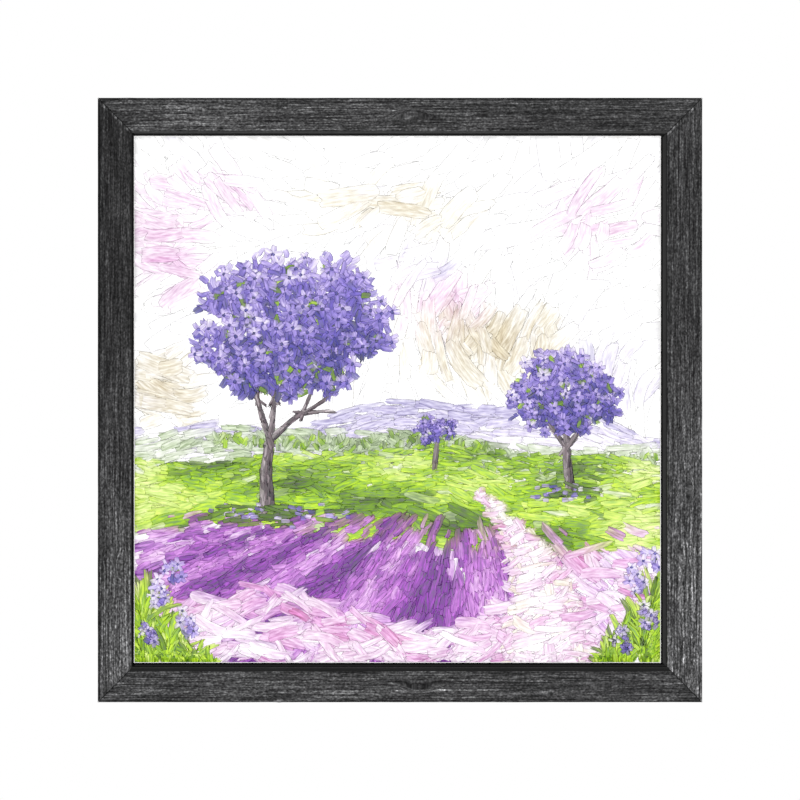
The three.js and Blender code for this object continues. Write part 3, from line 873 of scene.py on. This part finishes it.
far_hill = ridge_line(-8, (8, 46, 0.9), (3, 17, 2.0))
near_hill = ridge_line(-22, (6, 58, 2.6), (2, 21, 0.3))
meadow_top = ridge_line(-32, (4, 50, 1.1), (1.5, 14, 0))
field_top = ridge_line(-70, (9, 62, 3.3), (2, 17, 1))
vanish_x, vanish_z = 40.0, -36.0  # where the rows of heather meet

# Sky: loose white strokes, with patches of blush, cream and lilac. Each patch is a middle, a reach across
# and up, a scale of colours, how deep it is, and how many strokes it has.
sky_patches = [
    (-128, 96, 26, 44, blushes, 0.42, 40), (-96, 118, 30, 14, blushes, 0.2, 20),
    (0, 112, 58, 18, creams, 0.5, 36), (116, 104, 34, 26, blushes, 0.3, 30),
    (50, 34, 44, 26, creams, 0.85, 60), (-132, 6, 20, 26, creams, 0.75, 26),
    (128, 14, 24, 22, lilacs, 0.7, 18), (24, 52, 30, 16, blushes, 0.42, 24),
    (8, 78, 26, 10, lilacs, 0.85, 12),
]
for k in range(580):
    x, z, long = uniform(-half, half), uniform(-45, half), chance()
    put(x, z, drift(x, z) + gauss(0, 0.3), 18 + 32 * long, 6 + 9 * long * uniform(0.6, 1), whites, chance(),
        bend=gauss(0, 0.14))
for k in range(400):  # thin colour under the meadow and the heather
    x, z = spread_evenly(k, -36, -148)
    if z < meadow_top(x) - 4:
        above = z > field_top(x)
        angle = gauss(0.05, 0.2) if above else math.atan2(vanish_z - z, vanish_x - x)
        t = 0.42 + 0.4 * limited((-z - 120) / 20) + 0.5 * limited((abs(x + 6) - 112) / 28)
        put(x, z, angle, uniform(16, 34), uniform(5, 9), limes if above else heathers, t, vary=0.1)
patched = []
for cx, cz, rx, rz, scale, deep, count in sky_patches:
    for k in range(count):
        r, a = chance() ** 0.6, uniform(0, math.tau)
        patched.append((cx + rx * r * math.cos(a), cz + rz * r * math.sin(a), scale, deep * (1.65 - r)))
rng.shuffle(patched)
for x, z, scale, t in patched:
    put(x, z, drift(x, z) + gauss(0, 0.35), uniform(14, 38), uniform(5, 11.5), scale, t, vary=0.05,
        bend=gauss(0, 0.2), run=0.4)
    if chance() < 0.4:
        x, z = x + gauss(0, 14), z + gauss(0, 12)
        put(x, z, drift(x, z) + gauss(0, 0.3), uniform(16, 34), uniform(5, 10), whites, chance(),
            bend=gauss(0, 0.2))
lay_strokes("paint_sky", 6, 4, pickup=0.9, relief=0.6, soft=0.8)

# Hills and meadow: strokes follow the lie of the land, and thin out to white at the sides.
for k in range(330):
    x = limited((gauss(10, 70) + half) / (2 * half)) * 2 * half - half
    top = far_hill(x)
    z = uniform(-34, top - 2)
    put(x, z, slope(far_hill, x) + gauss(0, 0.14), uniform(9, 24), uniform(2.6, 5.4), lilacs,
        0.1 + (top - z) / 30 + abs(x) / 420, bend=gauss(0, 0.08))
for k in range(300):
    x = uniform(-half, half)
    z = uniform(-42, near_hill(x))
    put(x, z, slope(near_hill, x) + gauss(0, 0.12), uniform(8, 20), uniform(2.2, 4.6), sages,
        0.15 + chance() * 0.4 + abs(x) / 330)
for x in range(-104, 150, 7):  # a far hedge, in rounded tufts
    for k in range(7):
        put(x + gauss(0, 3), near_hill(x) - 6 + gauss(0, 2) - 0.02 * abs(x), uniform(0.4, 2.6),
            uniform(3.5, 7), uniform(1.8, 3), sages if chance() < 0.6 else limes,
            0.05 + 0.35 * chance() + abs(x) / 420)
for k in range(1250):
    x, t = spread_evenly(k, 0, 1)
    top, low = meadow_top(x), field_top(x) - 10
    z = top + (low - top) * t
    light = 0.46 + 0.27 * math.sin(x / 31 + z / 8) + 0.17 * math.sin(x / 12 - z / 5) + 0.1 * (1 - t)
    lie = slope(meadow_top, x) * (1 - t) + slope(field_top, x) * t
    put(x, z, lie + gauss(0, 0.2), uniform(7, 26) * (0.55 + 0.7 * t), uniform(2, 5) * (0.6 + 0.7 * t),
        limes if chance() < 0.93 else sages, light + 0.5 * limited((abs(x + 4) - 112) / 30), vary=0.11,
        bend=gauss(0, 0.16), run=0.4)
lay_strokes("paint_meadow", 5, 3, pickup=0.45)

# Heather: rows run to one vanishing point, first broad and then fine, and fade into the pale foreground.
heather_coats = (600, (16, 34), (4.5, 8), 0.34, 0.06), (1350, (6, 16), (2, 4.2), 0.42, 0.2)
for count, long, wide, deep, stray in heather_coats:
    for k in range(count):
        t = chance() ** 0.85
        x, z = uniform(-half, half), -66 - 88 * t
        if z > field_top(x) + 2:
            continue
        row = math.sin((x - vanish_x) / (vanish_z - z) * 7.2 + 0.5)
        fade = limited((abs(x + 30) - 84 - 10 * math.sin(z / 9)) / 34)
        fade += 0.9 * limited((-z - 128 - 10 * math.sin(x / 16)) / 22)
        if chance() < 1.15 * fade - 0.25:
            continue
        near = 0.55 + 0.8 * t
        put(x, z, math.atan2(vanish_z - z, vanish_x - x) + gauss(0, stray), uniform(*long) * near,
            uniform(*wide) * near, heathers, deep + 0.3 * row + 0.42 * fade, vary=0.09, bend=gauss(0, 0.14),
            run=0.34)
lay_strokes("paint_heather", 5, 3, pickup=0.4)

# Foreground and path: blush and cream strokes that cross each other, with a few strong pink ones.
for k in range(400):
    x = uniform(-half, half)
    z = uniform(-half, -122 - 12 * math.sin(x / 30 + 1) + 24 * limited((abs(x + 30) - 80) / 60))
    deep = 0.5 if chance() < 0.16 else 0.1
    put(x, z, 0.25 * math.sin(x / 25) + rng.choice((-0.35, 0.3)) + gauss(0, 0.25), uniform(12, 30),
        uniform(3, 7.5), blushes, deep + 0.26 * chance() + 0.12 * math.sin(x / 18 + z / 9), vary=0.07,
        bend=gauss(0, 0.2), run=0.5)


def path_middle(t):
    return 42 + 56 * t + 13 * math.sin(t * 3.6 + 0.2)


for k in range(560):
    t = chance() ** 0.7
    reach = 2.2 + 23 * t
    aside = uniform(-1, 1)
    lengthwise = chance() < 0.15
    heading = math.atan2(-12, path_middle(t + 0.115) - path_middle(t)) if lengthwise else gauss(0.2, 0.33)
    put(path_middle(t) + reach * aside, -50 - 104 * t, heading, uniform(9, 26) * (0.3 + 0.8 * t),
        uniform(2.6, 7) * (0.4 + 0.65 * t), blushes if chance() < 0.72 else creams,
        0.1 + 0.36 * aside ** 2 + 0.1 * chance(), vary=0.06, bend=gauss(0, 0.2), run=0.4)
lay_strokes("paint_foreground", 6, 4, pickup=0.5, relief=0.75)


def branch(x, z, angle, length, width, forks):
    """A trunk or branch of long overlapping strokes, dark on its right side, which forks in three."""
    steps = max(2, int(length / 4))
    step = length / steps
    lanes = (-0.36, -0.12, 0.12, 0.36) if width > 4 else (-0.22, 0.22)
    for k in range(steps):
        for side in lanes:
            put(x + math.cos(angle) * step / 2 - math.sin(angle) * side * width,
                z + math.sin(angle) * step / 2 + math.cos(angle) * side * width, angle + gauss(0, 0.06),
                step * uniform(2.4, 4), 1.5 * width / len(lanes), barks, 0.45 + side * 0.9, vary=0.14,
                run=0.5)
        x, z = x + math.cos(angle) * step, z + math.sin(angle) * step
        angle += gauss(0, 0.07)
        width *= 0.93
    if forks:
        for turn in (-0.62, -0.05, 0.55):
            branch(x, z, angle + turn + gauss(0, 0.1), length * 0.6, width * 0.66, forks - 1)


golden = 2.39996  # the angle between neighbours in a seed head


def in_crown(k, count, widest, turn, flat):
    """The k-th of so many even places in a crown of radius 1, flat below."""
    r, a = widest * ((k + chance()) / count) ** 0.5, golden * k + gauss(turn, 0.25)
    return r * math.cos(a), r * math.sin(a) * (1 if math.sin(a) > 0 else flat)


def blossom(cx, cz, rx, rz, balls, dabs, florets, size, lit=0.0):
    """A crown: balls of leaf and petal dabs, light on their upper left, then florets with dark centres."""
    spots = []
    for k in range(balls):
        across, up = in_crown(k, balls, 0.84, 0, 0.8)
        spots.append((cx + rx * across, cz + rz * up))
    for ball_x, ball_z in sorted(spots, key=lambda spot: spot[1]):
        reach = uniform(0.18, 0.28) * (rx + rz) / 2
        light = 0.40 + lit + 0.2 * (ball_z - cz) / rz - 0.1 * (ball_x - cx) / rx
        for k in range(dabs):
            r, a = chance() ** 0.55, uniform(0, math.tau)
            x, z = ball_x + reach * r * math.cos(a), ball_z + reach * r * math.sin(a) * 0.9
            leaf = chance() < 0.07 and math.hypot((x - cx) / rx, (z - cz) / rz) < 0.85
            scale, t = (limes, 0.25) if leaf else (violets, light + 0.24 * r * math.sin(a + 0.6))
            put(x, z, a + gauss(0, 0.6), uniform(4.4, 9) * size, uniform(1.9, 3.6) * size, scale, t,
                vary=0.1, bend=gauss(0, 0.35), run=0.35)
    for k in range(florets):
        across, up = in_crown(k, florets, 0.98, 1, 0.85)
        x, z = cx + rx * across, cz + rz * up
        light = 0.62 + lit + 0.22 * (z - cz) / rz - 0.12 * (x - cx) / rx + gauss(0, 0.1)
        petal, twist, petals = uniform(3.4, 5) * size, uniform(0, math.tau), rng.choice((4, 5, 5, 6))
        for p in range(petals):
            a = twist + math.tau * p / petals + gauss(0, 0.12)
            put(x + 0.62 * petal * math.cos(a), z + 0.62 * petal * math.sin(a), a, petal,
                petal * uniform(0.5, 0.7), violets, light + 0.1 * math.sin(a + 0.6), vary=0.05,
                bend=gauss(0, 0.2), run=0.3)
        put(x, z, uniform(0, 3), 1.7 * size, 1.5 * size, violets, 0.02, vary=0.04)


branch(-76, -66, 1.46, 42, 8.5, 2)
blossom(-62, 40, 62, 46, 68, 28, 82, 1.0)
lay_strokes("paint_large_tree", 4, 3, pickup=0.3, stiff=0.4)
branch(100, -52, 1.66, 24, 5, 1)
blossom(96, 2, 34, 27, 36, 24, 34, 0.8)
branch(22, -36, 1.5, 10, 2.4, 0)
blossom(22, -18, 13, 10, 9, 16, 7, 0.55)
for ground_x, ground_z, reach, count in ((-70, -66, 40, 90), (100, -54, 24, 44)):  # shade and fallen petals
    for k in range(count):
        shade = chance() < 0.55
        put(ground_x + gauss(0, reach * 0.45), ground_z + gauss(0, 3), gauss(0, 0.15),
            uniform(5, 14) if shade else uniform(2.5, 5), uniform(1.4, 2.6), limes if shade else violets,
            0.04 if shade else uniform(0.3, 0.9))

# Tufts of long grass with small flowers stand in both lower corners: blades fan out of one root.
for corner, start, wide, count in ((-1, 2, 46, 34), (1, 2, 40, 30)):
    for k in range(count):
        inward = chance() ** 1.7
        root = -corner * (start + wide * inward - half)
        low = -half - 12 + 36 * chance() ** 1.4 * (1 - inward)
        for blade in range(13):
            lean, long = gauss(0, 0.3) - 0.12 * corner, uniform(14, 40) * (1 - 0.6 * inward)
            put(root + 0.5 * long * math.sin(-lean), low + 0.5 * long, math.pi / 2 + lean, long,
                uniform(1.5, 3.2), limes, 0.2 + 0.75 * chance(), bend=1.2 * lean, run=0.5)
for cx, cz, count in ((-138, -112, 5), (-122, -130, 4), (-144, -134, 3), (138, -104, 5), (146, -126, 4),
                      (130, -138, 3), (-130, -98, 3), (147, -92, 3)):
    blossom(cx, cz, 7, 9, 3, 5, count, 0.8, lit=0.2)
lay_strokes("paint_small_trees_and_grass", 4, 3, pickup=0.3, relief=0.8, stiff=0.75)

# ---- Stretcher bars ----
# Four lengths of planed pine with mitred ends, which carry the canvas on a raised outer rim. Their edges are
# broken with sandpaper, and each end has a slot for a key.

flat_angle, sharp_angle, crisp_angle = math.radians(1), math.radians(30), math.radians(35)
touching, nearly_touching = 0.001 * mm, 0.005 * mm  # points this near each other are made one


def finished(bm, name, slot, look, nodes):
    """Makes a piece of a bmesh in place of CAD nodes, with smooth shading but for its crisp edges."""
    for edge in bm.edges:
        edge.smooth = edge.is_manifold and edge.calc_face_angle() < crisp_angle
    for face in bm.faces:
        face.smooth = True
    mesh = mesh_of(bm, name)
    mesh.materials.append(look)
    piece = made_piece(name, mesh, slot, *nodes)
    piece.modifiers.new("even_normals", "WEIGHTED_NORMAL").keep_sharp = True


def eased_copy(nodes, ease, shortest=0.0, segments=2):
    """CAD solids in one bmesh, with their sharp edges longer than the shortest rounded; in millimetres."""
    bm = bmesh.new()
    for one in nodes:
        bm.from_mesh(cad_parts[one].data)
    bmesh.ops.remove_doubles(bm, verts=bm.verts, dist=touching)
    bmesh.ops.dissolve_limit(bm, angle_limit=flat_angle, verts=bm.verts, edges=bm.edges)
    sharp = [e for e in bm.edges if e.is_manifold and e.calc_face_angle() > sharp_angle and
             e.calc_length() > shortest * mm]
    bmesh.ops.bevel(bm, geom=sharp, offset=ease * mm, segments=segments, profile=0.5, affect="EDGES",
                    material=-1, clamp_overlap=True)
    bmesh.ops.remove_doubles(bm, verts=bm.verts, dist=nearly_touching)
    return bm


# Sawn wood: growth rings round a pith that lies off the piece, with dark late wood, and fine fibres.
sawn, given, made = group(
    "sawn wood", {"Along": "Float", "Across": "Float", "Deep": "Float", "Pitch": "Float"},
    {"Ring": "Float", "Fibre": "Float"})
along, across, deep = given["Along"], given["Across"], given["Deep"]
swing = times_plus(sawn, stretched(sawn, along, across, 90, 45, 3.0, 2.0), 26.0, -13.0)
off_pith = node(sawn, "CombineXYZ", {0: plus(sawn, across, swing), 1: deep, 2: 0.0})
radius = node(sawn, "VectorMath", {0: off_pith}, operation="LENGTH").outputs["Value"]
ring = math_of(sawn, "FRACT", math_of(sawn, "DIVIDE", radius, given["Pitch"]))
late = times(sawn, eased(sawn, ring, 0.25, 0.86), eased(sawn, ring, 0.94, 1.0, 1.0, 0.0))
sawn.links.new(late.outputs[0], made["Ring"])
hair = plus(sawn, times(sawn, stretched(sawn, along, across, 26, 0.5, 5.0), 0.5),
            times(sawn, stretched(sawn, along, deep, 7, 0.4, 9.0), 0.5))
sawn.links.new(hair.outputs[0], made["Fibre"])

# Grime: soft grey patches with a few specks, as on the back of a thing that has been carried about.
grime, given, made = group("grime", {"Place": "Vector", "Amount": "Float"}, {"Mask": "Float"})
patch = clouds(grime, given["Place"], 0.05, 4.0, 0.65)
speck = clouds(grime, given["Place"], 1.4, 1.0)
spread = plus(grime, times(grime, eased(grime, patch, 0.48, 0.72), 0.7), eased(grime, speck, 0.70, 0.76))
grime.links.new(times(grime, spread, given["Amount"], clamp=True).outputs[0], made["Mask"])


def object_place(tree):
    """The piece's own place in millimetres, whole and by axis."""
    whole = in_millimetres(tree, node(tree, "TexCoord").outputs["Object"])
    return whole, axes_of(tree, whole)


# For each bar: where its pith lies across it and in depth, and the pitch of its rings, in millimetres.
bar_looks = {"top": (62, 21, 3.4), "right": (-212, 14, 4.1), "bottom": (-330, 24, 2.9),
             "left": (118, 17, 3.7)}
for side, (pith, pith_depth, pitch) in bar_looks.items():
    pine, tree, shader = material("planed pine " + side, 0.6, specular=0.35)
    whole, axes = object_place(tree)
    along, across = (axes["X"], axes["Z"]) if side in ("top", "bottom") else (axes["Z"], axes["X"])
    ring, fibre = use(tree, sawn, {
        "Along": along, "Across": math_of(tree, "SUBTRACT", across, pith),
        "Deep": math_of(tree, "SUBTRACT", axes["Y"], pith_depth), "Pitch": pitch})
    mask = use(tree, grime, {"Place": whole, "Amount": 0.30})[0]
    colour = mixed(tree, ring, (0.755, 0.545, 0.305, 1), (0.560, 0.330, 0.145, 1))
    colour = mixed(tree, eased(tree, fibre, 0.45, 0.62, 0.0, 0.35), colour, (0.60, 0.40, 0.21, 1))
    colour = mixed(tree, mask, colour, (0.40, 0.31, 0.21, 1))
    gloss = times_plus(tree, ring, -0.12, 0.64)
    coat(tree, shader, colour, gloss, times_plus(tree, ring, 0.35, fibre), 0.08, 0.5)
    bar = "bar_" + side
    finished(eased_copy([bar], 0.45, shortest=12), "pine_" + bar, "bar_pine", pine, [bar])

# ---- Keys ----
# Eight small beech wedges, two at each corner, tapped into the slots to spread the bars and tighten the
# cloth.

all_keys = ["key_%s_by_%s" % (side, sides[(k + turn) % 4])
            for k, side in enumerate(sides) for turn in (-1, 1)]
for lie, along, across in (("level", "X", "Z"), ("upright", "Z", "X")):
    beech, tree, shader = material("beech " + lie, 0.55, specular=0.4)
    whole, axes = object_place(tree)
    flecks = stretched(tree, axes[along], plus(tree, axes[across], axes["Y"]), 1.6, 0.22, 4.0)
    grain = stretched(tree, axes[along], axes[across], 14, 0.6, 8.0, 2.0)
    tone = clouds(tree, whole, 0.03, 2.0)
    colour = mixed(tree, eased(tree, tone, 0.35, 0.65), (0.62, 0.38, 0.20, 1), (0.50, 0.28, 0.14, 1))
    colour = mixed(tree, eased(tree, grain, 0.4, 0.7, 0.0, 0.4), colour, (0.70, 0.47, 0.27, 1))
    colour = mixed(tree, eased(tree, flecks, 0.58, 0.70, 0.0, 0.7), colour, (0.27, 0.13, 0.06, 1))
    coat(tree, shader, colour, eased(tree, flecks, 0.4, 0.7, 0.5, 0.62), grain, 0.06, 0.4)
    keys = []
    for key in all_keys:
        low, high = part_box(key)
        if (high.x - low.x > high.z - low.z) == (along == "X"):
            keys.append(key)
    finished(eased_copy(keys, 0.25), "beech_keys_" + lie, "key_beech", beech, keys)

# ---- Staples and corner nails ----
# Twenty staples of flat galvanized wire hold the turned cloth to the bars, five a side. V-shaped steel
# nails, two at each corner, are pressed into the backs of the rails across the mitres.


def steel(label, bright, dull, smooth, rough, spots, spot_tint):
    """A plated metal with patches of tarnish, a few dark spots and fine scratches."""
    made, tree, shader = material(label, rough, metallic=1.0)
    whole, axes = object_place(tree)
    tarnish = clouds(tree, whole, 0.35, 4.0, 0.6)
    level = stretched(tree, axes["X"], axes["Z"], 6, 0.12, 3.0)
    upright = stretched(tree, axes["Z"], axes["X"], 6, 0.12, 6.0)
    spot = clouds(tree, whole, 1.1, 2.0)
    colour = mixed(tree, eased(tree, tarnish, 0.4, 0.66), bright, dull)
    colour = mixed(tree, eased(tree, spot, 0.64, 0.74, 0.0, spots), colour, spot_tint)
    height = times_plus(tree, math_of(tree, "MAXIMUM", level, upright), 0.5, tarnish)
    coat(tree, shader, colour, eased(tree, tarnish, 0.35, 0.7, smooth, rough), height, 0.03, 0.35)
    return made


zinc = steel("zinc plated steel", (0.80, 0.81, 0.83, 1), (0.55, 0.57, 0.60, 1), 0.28, 0.50,
             0.5, (0.30, 0.29, 0.28, 1))
for side in sides:
    row = ["staple_%s_%d" % (side, k) for k in range(1, len(staple_rows) + 1)]
    finished(eased_copy(row, 0.2), "staples_" + side, "zinc_steel", zinc, row)
for k, side in enumerate(sides):
    corner = "%s_%s" % (side, sides[(k + 1) % 4])
    pair = ["vnail_%s_%s" % (corner, place) for place in ("outer", "inner")]
    bm = eased_copy(pair, 0.08, segments=1)
    bmesh.ops.translate(bm, verts=bm.verts, vec=(0, 0.08 * mm, 0))  # just proud of the wood
    finished(bm, "corner_nails_" + corner, "zinc_steel", zinc, pair)

# ---- Screws ----
# Eight pan-head screws with a crossed recess go through the ledge into the bars and hold the canvas in the
# frame. The head is forged and zinc plated; the shank has a rolled thread and a point.


def turned(outline, steps=28):
    """A solid of revolution about Y, from pairs of radius and depth in millimetres, from axis to axis."""
    bm = bmesh.new()
    points = [bm.verts.new((radius * mm, depth * mm, 0)) for radius, depth in outline]
    edges = [bm.edges.new(pair) for pair in zip(points, points[1:])]
    bmesh.ops.spin(bm, geom=points + edges, axis=(0, 1, 0), cent=(0, 0, 0), angle=math.tau, steps=steps,
                   use_merge=True)
    bmesh.ops.remove_doubles(bm, verts=bm.verts, dist=touching)
    bmesh.ops.recalc_face_normals(bm, faces=bm.faces)
    return bm


def repeated(one, nodes, turns):
    """Copies of a bmesh, each on the axis of a CAD node, level with its back and turned by its own angle."""
    shape = mesh_of(one, "one")
    bm = bmesh.new()
    for name, turn in zip(nodes, turns):
        low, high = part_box(name)
        count = len(bm.verts)
        bm.from_mesh(shape)
        bm.verts.ensure_lookup_table()
        place = Matrix.Translation(((low.x + high.x) / 2, high.y, (low.z + high.z) / 2))
        bmesh.ops.transform(bm, verts=bm.verts[count:], matrix=place @ Matrix.Rotation(turn, 4, "Y"))
    bpy.data.meshes.remove(shape)
    return bm


head_outline = [(0, 0), (0.9, -0.02), (1.9, -0.18), (2.7, -0.55), (3.25, -1.1), (3.5, -1.75), (3.5, -2.05),
                (3.38, -2.2), (1.8, -2.2)]
thread = [(1.72 if k % 2 else 1.32, -2.5 - 0.62 * k) for k in range(20)]  # crests and roots by turns
point = [(1.3, -16.6), (0.5, -19.2), (0, -20.2)]
cross = bmesh.new()
for turn in (0, math.pi / 2):
    arm = Matrix.Rotation(turn, 4, "Y") @ Matrix.Diagonal((4 * mm, 2.4 * mm, 0.9 * mm, 1))
    for v in bmesh.ops.create_cube(cross, size=1, matrix=arm)["verts"]:
        if v.co.y < 0:  # the recess narrows towards its bottom
            v.co.x, v.co.z = 0.55 * v.co.x, 0.55 * v.co.z
whole_screw = placed("whole_screw", mesh_of(turned(head_outline + thread + point), "screw"))
cutter = placed("cutter", mesh_of(cross, "cross"))
recess = whole_screw.modifiers.new("recess", "BOOLEAN")
recess.object, recess.operation, recess.use_self = cutter, "DIFFERENCE", True
cut = bpy.data.meshes.new_from_object(whole_screw.evaluated_get(bpy.context.evaluated_depsgraph_get()))
bpy.data.objects.remove(whole_screw)
bpy.data.objects.remove(cutter)
screw_shape = bmesh.new()
screw_shape.from_mesh(cut)
bpy.data.meshes.remove(cut)
screws = ["screw_%s_%d" % (side, k) for side in sides for k in (1, 2)]
screw_turns = 0.3, 1.1, 0.7, 0.1, 1.4, 0.5, 0.9, 1.2
finished(repeated(screw_shape, screws, screw_turns), "zinc_screws", "zinc_steel", zinc, screws)

# ---- Hanger ----
# A stamped sawtooth hanger of thin brassed steel on the back of the top rail, bent up between its feet so
# that the head of a wall nail fits behind it. Two small brassed nails hold it.

brass = steel("brassed steel", (0.72, 0.53, 0.24, 1), (0.50, 0.34, 0.14, 1), 0.30, 0.52,
              0.6, (0.22, 0.14, 0.07, 1))
finished(eased_copy(["hanger"], 0.16), "sawtooth_hanger", "hanger_steel", brass, ["hanger"])
nail_outline = [(0, 0), (0.6, -0.03), (1.15, -0.16), (1.6, -0.38), (1.78, -0.52), (1.72, -0.6), (0.7, -0.6),
                (0.7, -9.6), (0, -11.0)]
nails = ["hanger_nail_left", "hanger_nail_right"]
finished(repeated(turned(nail_outline, 20), nails, (0, 0.4)), "hanger_nails", "hanger_steel", brass, nails)

# ---- Bumpers ----
# Two self-adhesive domes of black rubber at the lower corners keep the frame off the wall. They pick up
# dust.

rubber, tree, shader = material("black rubber", 0.75, specular=0.3)
whole = object_place(tree)[0]
mask = use(tree, grime, {"Place": whole, "Amount": 0.55})[0]
mottle = clouds(tree, whole, 0.8, 3.0)
colour = mixed(tree, mottle, (0.012, 0.012, 0.013, 1), (0.024, 0.024, 0.026, 1))
colour = mixed(tree, mask, colour, (0.16, 0.15, 0.14, 1))
coat(tree, shader, colour, eased(tree, mottle, 0.3, 0.7, 0.6, 0.85), mottle, 0.05, 0.4)
dome_outline = [(0, 0), (1.2, -0.02), (2.4, -0.12), (3.4, -0.42), (4.2, -0.95), (4.72, -1.65), (4.95, -2.35),
                (5.0, -2.62), (4.96, -2.74), (4.7, -2.76), (4.7, -2.9), (0, -2.9)]
bumpers = ["bumper_left", "bumper_right"]
finished(repeated(turned(dome_outline, 36), bumpers, (0, 0)), "rubber_bumpers", "bumper_rubber", rubber,
         bumpers)
